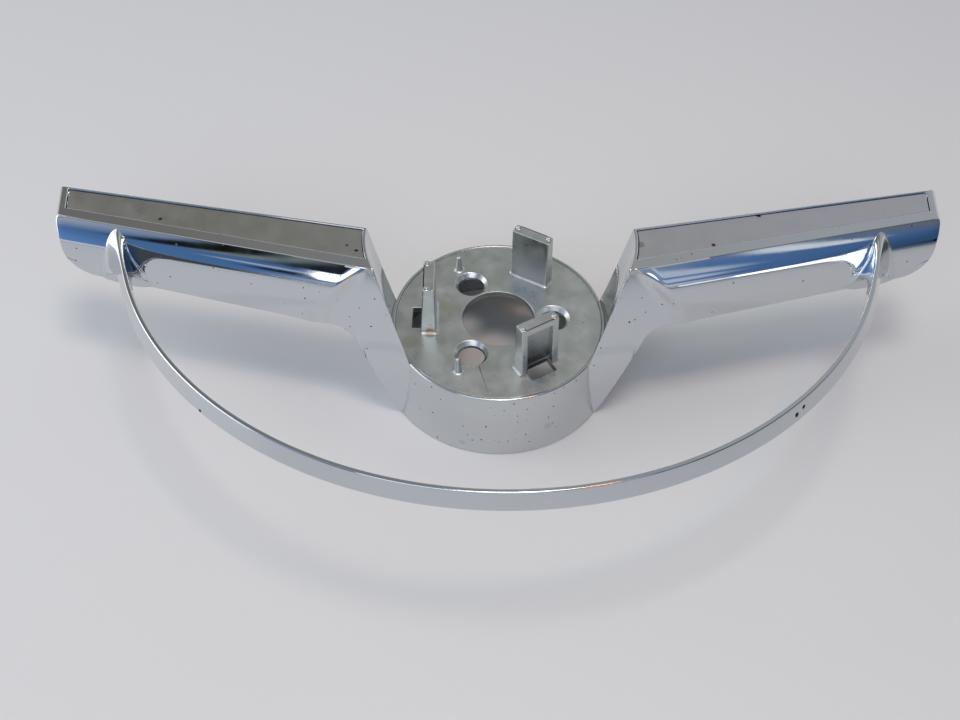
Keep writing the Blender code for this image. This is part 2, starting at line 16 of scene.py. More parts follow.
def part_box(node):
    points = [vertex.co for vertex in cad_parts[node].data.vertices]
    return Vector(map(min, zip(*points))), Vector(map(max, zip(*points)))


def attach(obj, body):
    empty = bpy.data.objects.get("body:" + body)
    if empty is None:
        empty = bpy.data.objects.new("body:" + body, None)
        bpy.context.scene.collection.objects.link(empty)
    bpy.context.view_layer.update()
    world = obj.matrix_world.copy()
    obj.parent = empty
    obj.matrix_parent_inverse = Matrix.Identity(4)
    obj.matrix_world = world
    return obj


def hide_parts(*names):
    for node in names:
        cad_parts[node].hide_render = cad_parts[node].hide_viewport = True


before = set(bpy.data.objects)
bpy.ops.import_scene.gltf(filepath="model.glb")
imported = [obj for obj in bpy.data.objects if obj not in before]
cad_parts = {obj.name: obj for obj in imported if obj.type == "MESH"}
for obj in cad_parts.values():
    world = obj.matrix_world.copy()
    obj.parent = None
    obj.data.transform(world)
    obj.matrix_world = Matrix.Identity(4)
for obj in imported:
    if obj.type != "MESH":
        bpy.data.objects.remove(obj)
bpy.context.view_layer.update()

LOG = logging.getLogger("horn_ring")
MM = 0.001
BODY = "root"
CUTTER_REACH = 60.0 * MM       # how far a cutter runs past what it cuts, sideways
CUTTER_OVER = 1.0 * MM         # how far a cutter stands past the face that it opens
MERGE = 0.08 * MM              # points nearer than this become one before edges are rounded
SLIVER = 0.01 * MM             # edges shorter than this are dissolved
FLAT_ANGLE = math.radians(0.4)  # faces that meet flatter than this are joined again
TURNED_STEPS = 192             # facets round the hub's cones


def on_grid(value: float) -> float:
    """A CAD coordinate rounded to 0.1 mm, which takes out the CAD mesh's own rounding."""
    return round(value / MM, 1) * MM


# Sizes that the arms and the hub share, taken from the frame.
HUB_FLARE = 4.0 * MM
HUB_HEIGHT = on_grid(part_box("hub_skirt")[1].z)
HUB_TOP_RADIUS = on_grid(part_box("hub_skirt")[1].x - HUB_FLARE)
ARM_TOP = on_grid(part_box("arm_right")[1].z)


class Slot(Enum):
    """The record's material slots."""

    BRIGHT = "bright_chrome"
    SATIN = "satin_plating"
    PANEL = "brushed_panel"


class Cut(Enum):
    """What a second solid does to the first."""

    REMOVE = "DIFFERENCE"
    KEEP = "INTERSECT"
    JOIN = "UNION"


# Small tools

def linear(hex_colour: str) -> tuple[float, float, float, float]:
    """Turn an sRGB hex colour into linear RGBA.

    Args:
        hex_colour: six hex digits, such as "c8ccd0".

    Returns:
        The linear colour with alpha 1.
    """
    parts = []
    for start in (0, 2, 4):
        value = int(hex_colour[start:start + 2], 16) / 255
        parts.append(value / 12.92 if value <= 0.04045 else ((value + 0.055) / 1.055) ** 2.4)
    return (*parts, 1.0)


def add_node(tree: bpy.types.NodeTree, kind: str, settings: dict, links: dict) -> bpy.types.Node:
    """Add a node, set it up and link its inputs.

    Args:
        tree: the node tree to add to.
        kind: the node's type, such as "ShaderNodeMath".
        settings: values by the name of a property, or by the name or number of an input.
        links: output sockets by the name or number of the input that takes them.

    Returns:
        The new node.
    """
    node = tree.nodes.new(kind)
    for key, value in settings.items():
        if isinstance(key, str) and hasattr(node, key):
            setattr(node, key, value)
        else:
            node.inputs[key].default_value = value
    for key, socket in links.items():
        tree.links.new(socket, node.inputs[key])
    return node


def smooth_step(value: float) -> float:
    """Ease from 0 to 1 as the value goes from 0 to 1."""
    value = min(max(value, 0.0), 1.0)
    return value * value * (3 - 2 * value)


def link_mesh(name: str, bm: bmesh.types.BMesh) -> bpy.types.Object:
    """Turn a bmesh into a smooth-shaded object in the scene.

    Args:
        name: the object's name.
        bm: the mesh, which is freed.

    Returns:
        The new object.
    """
    bmesh.ops.recalc_face_normals(bm, faces=bm.faces)
    mesh = bpy.data.meshes.new(name)
    bm.to_mesh(mesh)
    bm.free()
    mesh.shade_smooth()
    obj = bpy.data.objects.new(name, mesh)
    bpy.context.scene.collection.objects.link(obj)
    return obj


def apply_modifiers(obj: bpy.types.Object) -> None:
    """Replace an object's mesh by its evaluated mesh and drop its modifiers.

    Args:
        obj: the object to change.
    """
    bpy.context.view_layer.update()
    depsgraph = bpy.context.evaluated_depsgraph_get()
    mesh = bpy.data.meshes.new_from_object(obj.evaluated_get(depsgraph))
    obj.modifiers.clear()
    obj.data = mesh


def combine(target: bpy.types.Object, other: bpy.types.Object, how: Cut) -> None:
    """Combine two solids into the first and remove the second.

    Args:
        target: the solid that is kept.
        other: the solid that is used up.
        how: what the second one does to the first.
    """
    modifier = target.modifiers.new("combine", "BOOLEAN")
    modifier.operation = how.value
    modifier.object = other
    apply_modifiers(target)
    bpy.data.objects.remove(other)


def split_large_faces(bm: bmesh.types.BMesh) -> None:
    """Split the faces with more than four corners into triangles."""
    bmesh.ops.triangulate(bm, faces=[face for face in bm.faces if len(face.verts) > 4])


def round_edges(obj: bpy.types.Object, width: float, segments: int, limit: float,
                split: bool = False) -> None:
    """Round every edge sharper than a limit.

    Args:
        obj: the object to change.
        width: the rounding's width.
        segments: how many faces the rounding is made of.
        limit: the angle between faces, in degrees, from which an edge counts as sharp.
        split: whether faces with many corners are split before the rounding, and tidied after.
    """
    bm = bmesh.new()
    bm.from_mesh(obj.data)
    bmesh.ops.remove_doubles(bm, verts=bm.verts, dist=MERGE)
    bmesh.ops.dissolve_degenerate(bm, edges=bm.edges, dist=SLIVER)
    if split:
        split_large_faces(bm)
    bm.to_mesh(obj.data)
    bm.free()
    obj.data.shade_smooth()
    modifier = obj.modifiers.new("rounding", "BEVEL")
    modifier.width = width
    modifier.segments = segments
    modifier.limit_method = "ANGLE"
    modifier.angle_limit = math.radians(limit)
    modifier.use_clamp_overlap = False
    apply_modifiers(obj)
    if split:
        bm = bmesh.new()
        bm.from_mesh(obj.data)
        bmesh.ops.dissolve_limit(bm, angle_limit=FLAT_ANGLE, verts=bm.verts, edges=bm.edges)
        split_large_faces(bm)
        bm.to_mesh(obj.data)
        bm.free()
    weighted = obj.modifiers.new("normals", "WEIGHTED_NORMAL")
    weighted.weight = 100
    apply_modifiers(obj)


def skin(name: str, rows: list[list[Vector]], capped: bool) -> bpy.types.Object:
    """Join closed loops of equal point counts into a tube.

    Args:
        name: the object's name.
        rows: the loops, in order.
        capped: whether the two end loops are filled.

    Returns:
        The tube.
    """
    bm = bmesh.new()
    loops = [[bm.verts.new(point) for point in row] for row in rows]
    count = len(rows[0])
    for loop, following in zip(loops, loops[1:]):
        for index in range(count):
            beside = (index + 1) % count
            bm.faces.new((loop[index], loop[beside], following[beside], following[index]))
    if capped:
        bm.faces.new(loops[0])
        bm.faces.new(loops[-1])
    return link_mesh(name, bm)


def prism(name: str, outline: list[Vector], reach: Vector) -> bpy.types.Object:
    """Extrude a flat outline along a vector into a closed solid."""
    return skin(name, [outline, [point + reach for point in outline]], True)


def block(name: str, low: Vector, high: Vector) -> bpy.types.Object:
    """A closed box.

    Args:
        name: the object's name.
        low: its lowest corner.
        high: its highest corner.

    Returns:
        The box.
    """
    outline = [Vector((low.x, low.y, low.z)), Vector((high.x, low.y, low.z)),
               Vector((high.x, high.y, low.z)), Vector((low.x, high.y, low.z))]
    return prism(name, outline, Vector((0, 0, high.z - low.z)))


def turned(name: str, profile: list[tuple[float, float]], steps: int) -> bpy.types.Object:
    """Turn a closed (radius, height) profile about Z.

    Args:
        name: the object's name.
        profile: the profile's points, none of them on the axis.
        steps: how many facets go round.

    Returns:
        The turned body.
    """
    rows = []
    for step in range(steps):
        angle = math.tau * step / steps
        rows.append([Vector((r * math.cos(angle), r * math.sin(angle), z)) for r, z in profile])
    rows.append(rows[0])
    obj = skin(name, rows, False)
    bm = bmesh.new()
    bm.from_mesh(obj.data)
    bmesh.ops.remove_doubles(bm, verts=bm.verts, dist=0.001 * MM)
    bmesh.ops.recalc_face_normals(bm, faces=bm.faces)
    bm.to_mesh(obj.data)
    bm.free()
    return obj


def cone(name: str, foot: float, head: float, base: Vector, height: float, lean: float = 0.0,
         steps: int = TURNED_STEPS) -> bpy.types.Object:
    """A closed cone or cylinder that stands on a point.

    Args:
        name: the object's name.
        foot: its radius at the bottom.
        head: its radius at the top.
        base: the middle of its bottom.
        height: how high it is.
        lean: how far its top is moved towards +Y.
        steps: how many facets go round.

    Returns:
        The cone.
    """
    rows = []
    for radius, rise, shift in ((foot, 0.0, 0.0), (head, height, lean)):
        row = []
        for step in range(steps):
            angle = math.tau * step / steps
            offset = Vector((radius * math.cos(angle), radius * math.sin(angle) + shift, rise))
            row.append(base + offset)
        rows.append(row)
    return skin(name, rows, True)


def arc(centre: tuple[float, float], radius: float, start: float, end: float,
        steps: int) -> list[tuple[float, float]]:
    """Points of an arc in a profile's plane.

    Args:
        centre: the arc's centre.
        radius: its radius.
        start: the first angle, in degrees.
        end: the last angle, in degrees.
        steps: how many pieces it is made of.

    Returns:
        The points, both ends included.
    """
    points = []
    for step in range(steps + 1):
        angle = math.radians(start + (end - start) * step / steps)
        points.append((centre[0] + radius * math.cos(angle), centre[1] + radius * math.sin(angle)))
    return points


def rounded_corner(before: Vector, corner: Vector, after: Vector, radius: float,
                   steps: int) -> list[Vector]:
    """Points of the arc that rounds one corner of an outline.

    Args:
        before: the outline's point before the corner.
        corner: the corner.
        after: the outline's point after it.
        radius: the arc's radius.
        steps: how many pieces the arc is made of.

    Returns:
        The points, both ends included.
    """
    to_before = (before - corner).normalized()
    to_after = (after - corner).normalized()
    half = to_before.angle(to_after) / 2
    centre = corner + (to_before + to_after).normalized() * radius / math.sin(half)
    start = corner + to_before * radius / math.tan(half) - centre
    end = corner + to_after * radius / math.tan(half) - centre
    turn = start.angle(end)
    points = []
    for step in range(steps + 1):
        share = step / steps
        mixed = start * math.sin((1 - share) * turn) + end * math.sin(share * turn)
        points.append(centre + mixed / math.sin(turn))
    return points


def mirrored(obj: bpy.types.Object, name: str) -> bpy.types.Object:
    """Copy a piece to the other side of the X = 0 plane.

    Args:
        obj: the piece.
        name: the copy's name.

    Returns:
        The copy.
    """
    copy = obj.data.copy()
    copy.transform(Matrix.Diagonal((-1.0, 1.0, 1.0, 1.0)))
    copy.flip_normals()
    twin = bpy.data.objects.new(name, copy)
    bpy.context.scene.collection.objects.link(twin)
    return twin


def place(obj: bpy.types.Object, material: bpy.types.Material, slot: Slot,
          nodes: tuple[str, ...]) -> None:
    """Dress a finished piece, hang it on the body and let it stand for its CAD nodes.

    Args:
        obj: the piece.
        material: its finish.
        slot: the record's slot that the finish belongs to; not used.
        nodes: the CAD nodes that it stands for, none for a detail on another piece.
    """
    obj.data.materials.clear()
    obj.data.materials.append(material)
    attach(obj, BODY)
    if nodes:
        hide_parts(*nodes)
    stands_for = ", ".join(nodes) or "no node"
    LOG.info("%s: %d faces, stands for %s", obj.name, len(obj.data.polygons), stands_for)


# Finishes

@dataclass(frozen=True)
class Pits:
    """Small round spots where corrosion has broken through the plating.

    Attributes:
        spacing: mean distance between possible spots, in mm.
        radius: a large spot's radius, in mm.
        share: how many of the possible spots are there, from 0 to 1.
    """

    spacing: float
    radius: float
    share: float

    def mask(self, tree: bpy.types.NodeTree, place_mm: bpy.types.NodeSocket
             ) -> bpy.types.NodeSocket:
        """Make a mask that is 1 inside a spot.

        Args:
            tree: the material's tree.
            place_mm: the place on the object, in mm.

        Returns:
            The mask's socket.
        """
        largest = self.radius / self.spacing
        cells = add_node(tree, "ShaderNodeTexVoronoi", {"Scale": 1 / self.spacing},
                         {"Vector": place_mm})
        chance = add_node(tree, "ShaderNodeSeparateColor", {}, {0: cells.outputs["Color"]})
        size_range = {"From Min": 1 - self.share, "From Max": 1.0,
                      "To Min": -0.5 * largest, "To Max": largest}
        size = add_node(tree, "ShaderNodeMapRange", size_range, {"Value": chance.outputs[0]})
        edge = add_node(tree, "ShaderNodeMath", {"operation": "SUBTRACT"},
                        {0: size.outputs[0], 1: cells.outputs["Distance"]})
        mask = add_node(tree, "ShaderNodeMapRange", {"From Min": 0.0, "From Max": 0.4 * largest},
                        {"Value": edge.outputs[0]})
        return mask.outputs[0]


@dataclass(frozen=True)
class Mark:
    """One chip or stain at a place on the object.

    Attributes:
        place: its middle, in mm.
        radius: in mm.
        colour: sRGB hex.
        strength: how much it covers.
        roughness: its own roughness.
    """

    place: tuple[float, float, float]
    radius: float
    colour: str
    strength: float = 1.0
    roughness: float = 0.6

    def lay(self, tree: bpy.types.NodeTree, spot: bpy.types.NodeSocket,
            colour: bpy.types.NodeSocket, rough: bpy.types.NodeSocket
            ) -> tuple[bpy.types.NodeSocket, bpy.types.NodeSocket]:
        """Lay the mark over a colour and a roughness.

        Args:
            tree: the material's tree.
            spot: the place on the object, in mm, with an uneven edge.
            colour: the colour without the mark.
            rough: the roughness without the mark.

        Returns:
            The colour and the roughness with the mark.
        """
        away = add_node(tree, "ShaderNodeVectorMath", {"operation": "DISTANCE", 1: self.place},
                        {0: spot})
        fading = {"From Min": self.radius, "From Max": 0.6 * self.radius, "To Max": self.strength}
        mask = add_node(tree, "ShaderNodeMapRange", fading, {"Value": away.outputs["Value"]})
        tint = add_node(tree, "ShaderNodeMix", {"data_type": "RGBA", 7: linear(self.colour)},
                        {0: mask.outputs[0], 6: colour})
        dull = add_node(tree, "ShaderNodeMix", {"data_type": "FLOAT", 3: self.roughness},
                        {0: mask.outputs[0], 2: rough})
        return tint.outputs[2], dull.outputs[0]


@dataclass(frozen=True)
class Finish:
    """What every finish on this casting has.

    Attributes:
        name: the material's name.
        colour: the metal's colour, sRGB hex.
        stain: the colour of its spots and dirt, sRGB hex.
        roughness: the lowest and the highest roughness over the surface.
        pits: its corrosion spots.
        peel_size: the size of its slow unevenness, in mm.
        peel_depth: how deep that is, in mm.
        marks: single chips and stains.
        haze_size: the size of the cloudy patches in its roughness, in mm.
        haze_range: the share of the clouds from which the roughness rises, and where it ends.
        ragged: how far a mark's edge wanders, in mm.
        pit_roughness: how rough a corrosion spot is.
        pit_depth: how deep a corrosion spot is, in mm.
    """

    name: str
    colour: str
    stain: str
    roughness: tuple[float, float]
    pits: Pits
    peel_size: float
    peel_depth: float
    marks: tuple[Mark, ...] = ()
    haze_size: float = 9.0
    haze_range: tuple[float, float] = (0.35, 0.7)
    ragged: float = 1.6
    pit_roughness: float = 0.75
    pit_depth: float = 0.01

    def start(self) -> tuple[bpy.types.Material, bpy.types.NodeSocket]:
        """Make the material and the place on the object in mm.

        Returns:
            The material and the socket of the place.
        """
        material = bpy.data.materials.new(self.name)
        material.use_nodes = True
        tree = material.node_tree
        spot = add_node(tree, "ShaderNodeTexCoord", {}, {})
        place_mm = add_node(tree, "ShaderNodeVectorMath", {"operation": "SCALE", "Scale": 1 / MM},
                            {0: spot.outputs["Object"]})
        return material, place_mm.outputs[0]

    def finish(self, material: bpy.types.Material, place_mm: bpy.types.NodeSocket,
               fine: bpy.types.NodeSocket, fine_depth: float) -> None:
        """Join colour, roughness and unevenness to the shader.

        Args:
            material: the material from start.
            place_mm: the place on the object, in mm.
            fine: the height of the finish's own fine pattern, from 0 to 1.
            fine_depth: how deep that pattern is, in mm.
        """
        tree = material.node_tree
        shader = tree.nodes["Principled BSDF"]
        shader.inputs["Metallic"].default_value = 1.0
        spots = self.pits.mask(tree, place_mm)
        cloud = add_node(tree, "ShaderNodeTexNoise",
                         {"Scale": 1 / self.haze_size, "Detail": 4.0, "Roughness": 0.65},
                         {"Vector": place_mm})
        haze_map = {"From Min": self.haze_range[0], "From Max": self.haze_range[1],
                    "To Min": self.roughness[0], "To Max": self.roughness[1]}
        haze = add_node(tree, "ShaderNodeMapRange", haze_map, {"Value": cloud.outputs[0]})
        rough = add_node(tree, "ShaderNodeMix", {"data_type": "FLOAT", 3: self.pit_roughness},
                         {0: spots, 2: haze.outputs[0]})
        colours = {"data_type": "RGBA", 6: linear(self.colour), 7: linear(self.stain)}
        colour = add_node(tree, "ShaderNodeMix", colours, {0: spots})
        tint, dull = colour.outputs[2], rough.outputs[0]
        wander = add_node(tree, "ShaderNodeVectorMath",
                          {"operation": "MULTIPLY_ADD", 1: (self.ragged, self.ragged, self.ragged)},
                          {0: cloud.outputs["Color"], 2: place_mm})
        for mark in self.marks:
            tint, dull = mark.lay(tree, wander.outputs[0], tint, dull)
        tree.links.new(tint, shader.inputs["Base Color"])
        tree.links.new(dull, shader.inputs["Roughness"])
        peel = add_node(tree, "ShaderNodeTexNoise", {"Scale": 1 / self.peel_size, "Detail": 1.0},
                        {"Vector": place_mm})
        slow = add_node(tree, "ShaderNodeBump",
                        {"Strength": 1.0, "Distance": self.peel_depth * MM},
                        {"Height": peel.outputs[0]})
        fast = add_node(tree, "ShaderNodeBump", {"Strength": 1.0, "Distance": fine_depth * MM},
                        {"Height": fine, "Normal": slow.outputs[0]})
        sunk = add_node(tree, "ShaderNodeBump",
                        {"Strength": 1.0, "Distance": self.pit_depth * MM, "invert": True},
                        {"Height": spots, "Normal": fast.outputs[0]})
        tree.links.new(sunk.outputs[0], shader.inputs["Normal"])


@dataclass(frozen=True)
class PolishedPlate(Finish):
    """Bright nickel-chrome on a polished zinc casting.

    Polishing before plating leaves a mirror with slow waves in it, and age leaves small pits.

    Attributes:
        wheel_size: the size of what the polishing wheel left, in mm.
        wheel_depth: how deep that is, in mm.
    """

    wheel_size: float = 0.8
    wheel_depth: float = 0.0006

    def build(self) -> bpy.types.Material:
        """Make the material.

        Returns:
            The material.
        """
        material, place_mm = self.start()
        wheel = add_node(material.node_tree, "ShaderNodeTexNoise",
                         {"Scale": 1 / self.wheel_size, "Detail": 2.0}, {"Vector": place_mm})
        self.finish(material, place_mm, wheel.outputs[0], self.wheel_depth)
        return material


@dataclass(frozen=True)
class CastPlate(Finish):
    """Thin plating straight on the as-cast zinc inside the hub.

    The casting's skin isn't polished there, so it mirrors only broadly, with cloudy patches.

    Attributes:
        grain_size: the size of the casting's grain, in mm.
        grain_depth: how deep that is, in mm.
    """

    grain_size: float = 1.4
    grain_depth: float = 0.012

    def build(self) -> bpy.types.Material:
        """Make the material.

        Returns:
            The material.
        """
        material, place_mm = self.start()
        grain = add_node(material.node_tree, "ShaderNodeTexNoise",
                         {"Scale": 1 / self.grain_size, "Detail": 3.0, "Roughness": 0.55},
                         {"Vector": place_mm})
        self.finish(material, place_mm, grain.outputs[0], self.grain_depth)
        return material


@dataclass(frozen=True)
class BrushedInsert(Finish):
    """Aluminium strip brushed along its length and clear anodised.

    Attributes:
        direction: the brushing's direction, in degrees from +X about Z.
        hair_length: how long a brushed hair is, in mm.
        hair_width: how wide a hair is drawn, in mm. Real ones are about 0.1 mm wide; they are
            drawn wider, so that they show.
        hair_depth: how deep the hairs are, in mm.
    """

    direction: float = 0.0
    hair_length: float = 24.0
    hair_width: float = 0.7
    hair_depth: float = 0.016

    def build(self) -> bpy.types.Material:
        """Make the material.

        Returns:
            The material.
        """
        material, place_mm = self.start()
        tree = material.node_tree
        turn = (0.0, 0.0, math.radians(-self.direction))
        along = add_node(tree, "ShaderNodeVectorRotate",
                         {"rotation_type": "EULER_XYZ", "Rotation": turn}, {"Vector": place_mm})
        stretch = (1 / self.hair_length, 1 / self.hair_width, 1 / self.hair_width)
        stretched = add_node(tree, "ShaderNodeVectorMath", {"operation": "MULTIPLY", 1: stretch},
                             {0: along.outputs[0]})
        hairs = add_node(tree, "ShaderNodeTexNoise", {"Scale": 1.0, "Detail": 1.0, "Roughness": 0.5},
                         {"Vector": stretched.outputs[0]})
        self.finish(material, place_mm, hairs.outputs[0], self.hair_depth)
        return material


# Chrome over polished zinc on the arms and legs: near-mirror, with corrosion pits.
BRIGHT = PolishedPlate(
    name="chrome_on_polished_zinc", colour="d2d5d8", stain="3c3630", roughness=(0.035, 0.09),
    pits=Pits(spacing=2.0, radius=0.45, share=0.4), peel_size=14.0, peel_depth=0.010)

# The same on the ring, which hands keep cleaner: fewer pits, and three chips in its top.
RING = PolishedPlate(
    name="chrome_on_polished_ring", colour="cdd1d4", stain="3c3630", roughness=(0.035, 0.08),
    pits=Pits(spacing=2.6, radius=0.35, share=0.15), peel_size=20.0, peel_depth=0.010,
    marks=(Mark((94.8, -73.7, 63.2), 1.1, "1d1a18"),
           Mark((97.5, -71.0, 63.9), 0.9, "2a2522"),
           Mark((-97.6, -70.9, 61.1), 0.8, "4a4642")))

# The same on the hub's wall, where the plating has gone hazy and is pitted most.
HUB_WALL = PolishedPlate(
    name="chrome_on_polished_hub_wall", colour="cdd0d1", stain="4a443a", roughness=(0.06, 0.22),
    pits=Pits(spacing=1.7, radius=0.42, share=0.6), peel_size=9.0, peel_depth=0.012,
    marks=(Mark((-14.0, -43.6, 5.0), 2.0, "8a8f90", 0.4, 0.3),
           Mark((20.0, -41.0, 12.0), 2.6, "9a9d9c", 0.4, 0.3)))

# Thin plating on the unpolished plate, posts and pins: satin, stained brown and green in places.
CAST = CastPlate(
    name="thin_plating_on_cast_zinc", colour="c4c8c6", stain="5a574e", roughness=(0.26, 0.5),
    pits=Pits(spacing=2.4, radius=0.4, share=0.3), peel_size=11.0, peel_depth=0.02,
    marks=(Mark((-26.0, -7.9, 29.0), 2.4, "a08050", 0.5),
           Mark((-20.2, 7.0, 29.0), 3.4, "98a274", 0.5),
           Mark((-34.0, -12.0, 29.0), 4.0, "8d8a80", 0.4),
           Mark((11.0, -33.0, 29.0), 3.0, "8f8f8a", 0.4)))

# Brushed and anodised aluminium: a soft grey sheen drawn out across the brushing.
INSERT_RIGHT = BrushedInsert(
    name="brushed_aluminium_right", colour="c9c9cd", stain="54493e", roughness=(0.26, 0.36),
    pits=Pits(spacing=3.0, radius=0.3, share=0.05), peel_size=16.0, peel_depth=0.006,
    marks=(Mark((79.5, 3.9, 65.3), 1.0, "4a3a2c"),
           Mark((99.3, 20.6, 65.3), 1.2, "3a3029"),
           Mark((52.6, 4.0, 65.3), 2.0, "6d6254", 0.6)),
    direction=12.2)

# The same on the left, in a darker and a little yellower grey: painted shade for the dimmer
# surroundings that the left panel mirrors. A fleck of green is left in it.
INSERT_LEFT_SHADED = BrushedInsert(
    name="brushed_aluminium_left_shaded", colour="bdbdba", stain="4a4238", roughness=(0.26, 0.36),
    pits=Pits(spacing=3.0, radius=0.3, share=0.05), peel_size=16.0, peel_depth=0.006,
    marks=(Mark((-127.4, 17.2, 65.3), 1.0, "2e2a25"),
           Mark((-55.8, 3.2, 65.3), 0.8, "3f5a3a"),
           Mark((-52.3, 0.2, 65.3), 0.9, "2e2a25")),
    direction=-12.2)


# Arms

@dataclass
class Arm:
    """The right arm with its leg, and its mirror image on the left.

    The crest is the front edge of the arm's flat top. Places on the front face are given by
    the distance along the crest, the distance out before it and the drop below it.
    """

    sweep: float = math.radians(13.4)
    taper: float = math.radians(2.3)
    crest_azimuth: float = math.radians(22.5)
    top_height: float = ARM_TOP
    root_width: float = 21.1 * MM
    end_x: float = 165.0 * MM
    end_rake: float = math.radians(9.4)
    # The front face's section: drop below the crest in mm, how far out it stands, and its slope.
    belly: tuple[tuple[float, float, float], ...] = (
        (0.0, 0.0, 1.42), (3.7, 4.6, 0.93), (8.1, 7.05, 0.32), (13.4, 8.1, 0.11),
        (25.0, 8.5, 0.01), (65.0, 12.6, 0.19))
    flat_out: float = 12.6 * MM        # how far out the foot stands where there is no belly
    flat_start_slope: float = 2.2      # that face's slope at the top, against a straight one
    fade_start: float = 1.0 * MM       # where along the crest the belly begins
    fade_slant: float = 0.7            # how much later it begins for each unit of drop
    fade_length: float = 8.0 * MM
    depth: float = 25.0 * MM
    under_rise: float = math.radians(2.4)
    elbow_x: float = 59.5 * MM
    elbow_radius: float = 8.0 * MM
    toe_x: float = 43.1 * MM
    tip_radius: float = 11.0 * MM
    tip_draft: float = 0.6 * MM
    tip_edge: float = 1.6 * MM
    wall: float = 2.6 * MM
    front_wall: float = 3.5 * MM
    top_wall: float = 3.0 * MM
    tip_wall: float = 5.0 * MM
    rib_count: int = 3
    rib_thickness: float = 2.0 * MM
    rib_depth: float = 8.0 * MM
    hub_radius: float = HUB_TOP_RADIUS
    hub_flare: float = HUB_FLARE
    hub_height: float = HUB_HEIGHT
    hub_overlap: float = 1.0 * MM      # how deep the leg sits in the hub's wall
    bowl_radius: float = 50.0 * MM
    bowl_shift: float = 8.4 * MM
    bowl_sunk: float = 0.5 * MM        # keeps the bowl's cutter off the hub's upper plane
    front_rim: float = 4.6 * MM
    rear_rim: float = 1.0 * MM
    end_rim: float = 3.5 * MM
    inner_rim: float = 1.3 * MM
    recess_depth: float = 1.4 * MM
    panel_thickness: float = 0.6 * MM
    gap: float = 0.3 * MM
    inner_reach: float = 25 * MM       # how far blanks run on inwards from the crest's first point
    edge_round: float = 0.45 * MM
    panel_edge_round: float = 0.12 * MM
    # The front face's mesh: short steps where the belly begins, long ones to the tip.
    short_step: float = 0.8 * MM
    short_steps: int = 40
    long_steps: int = 24
    first_drop: float = 0.2
    drop_step: float = 0.35
    drop_steps: int = 27
    # No row falls where the underside cuts the face at a shallow angle.
    low_drops: tuple[float, ...] = (10.3, 11.4, 12.6, 14.0, 15.6, 17.4, 19.4, 31.5, 37.0, 44.0,
                                    51.0, 58.0, 66.0)

    def __post_init__(self) -> None:
        """Work out the directions and the crest's first point."""
        self.along = Vector((math.cos(self.sweep), math.sin(self.sweep), 0.0))
        self.outward = Vector((math.sin(self.sweep), -math.cos(self.sweep), 0.0))
        rear = self.sweep - self.taper
        self.rear_along = Vector((math.cos(rear), math.sin(rear), 0.0))
        self.rear_inward = Vector((self.rear_along.y, -self.rear_along.x, 0.0))
        self.rake = Vector((math.tan(self.end_rake), 1.0, 0.0))
        across = self.bowl_radius * math.cos(self.crest_azimuth)
        back = self.bowl_shift - self.bowl_radius * math.sin(self.crest_azimuth)
        self.start = Vector((across, back, 0.0))
        self.under_height = self.top_height - self.depth

    def belly_at(self, drop: float) -> float:
        """Find how far out the full belly stands.

        Args:
            drop: distance below the crest.

        Returns:
            The distance out, on a smooth curve through the section's points.
        """
        index = 0
        while index < len(self.belly) - 2 and drop > self.belly[index + 1][0] * MM:
            index += 1
        (low, out_low, slope_low), (high, out_high, slope_high) = self.belly[index:index + 2]
        span = high - low
        t = (drop / MM - low) / span
        out = (out_low * (1 + 2 * t) * (1 - t) ** 2 + slope_low * span * t * (1 - t) ** 2
               + out_high * t * t * (3 - 2 * t) - slope_high * span * t * t * (1 - t))
        return out * MM

    def front(self, station: float, drop: float, inset: float = 0.0) -> Vector:
        """Find a point on the arm's front face.

        Args:
            station: distance along the crest from its inner end.
            drop: distance below the crest.
            inset: how far behind the face the point lies.

        Returns:
            The point.
        """
        belly = self.belly_at(drop)
        share = drop / self.top_height
        bend = self.flat_start_slope - 1
        flat = self.flat_out * (self.flat_start_slope * share - bend * share ** 2)
        begun = station - self.fade_start - self.fade_slant * drop
        fullness = smooth_step(begun / self.fade_length)
        out = flat + (belly - flat) * fullness - inset
        level = Vector((0, 0, self.top_height - drop))
        return self.start + self.along * station + self.outward * out + level

    def front_blank(self, name: str, inset: float) -> bpy.types.Object:
        """Make everything behind the front face.

        Args:
            name: the object's name.
            inset: how far the face is set back.

        Returns:
            The solid.
        """
        stations = [-self.inner_reach]
        stations += [self.short_step * step for step in range(self.short_steps)]
        last = stations[-1]
        stations += [last + (self.end_x - last) * step / self.long_steps
                     for step in range(1, self.long_steps + 1)]
        # The face runs on past the top and the bottom, so that no two cutters share a plane there.
        drops = [-CUTTER_OVER]
        drops += [(self.first_drop + self.drop_step * step) * MM for step in range(self.drop_steps)]
        drops += [drop * MM for drop in self.low_drops]
        rows = []
        for station in stations:
            row = [self.front(station, drop, inset) for drop in drops]
            back = -self.outward * CUTTER_REACH
            rows.append([row[0] + back] + row + [row[-1] + back])
        return skin(name, rows, True)

    def raked_prism(self, name: str, points: list[Vector]) -> bpy.types.Object:
        """Extrude an outline in the X-Z plane along the raked end, both ways."""
        shifted = [point - self.rake * CUTTER_REACH for point in points]
        return prism(name, shifted, self.rake * 2 * CUTTER_REACH)

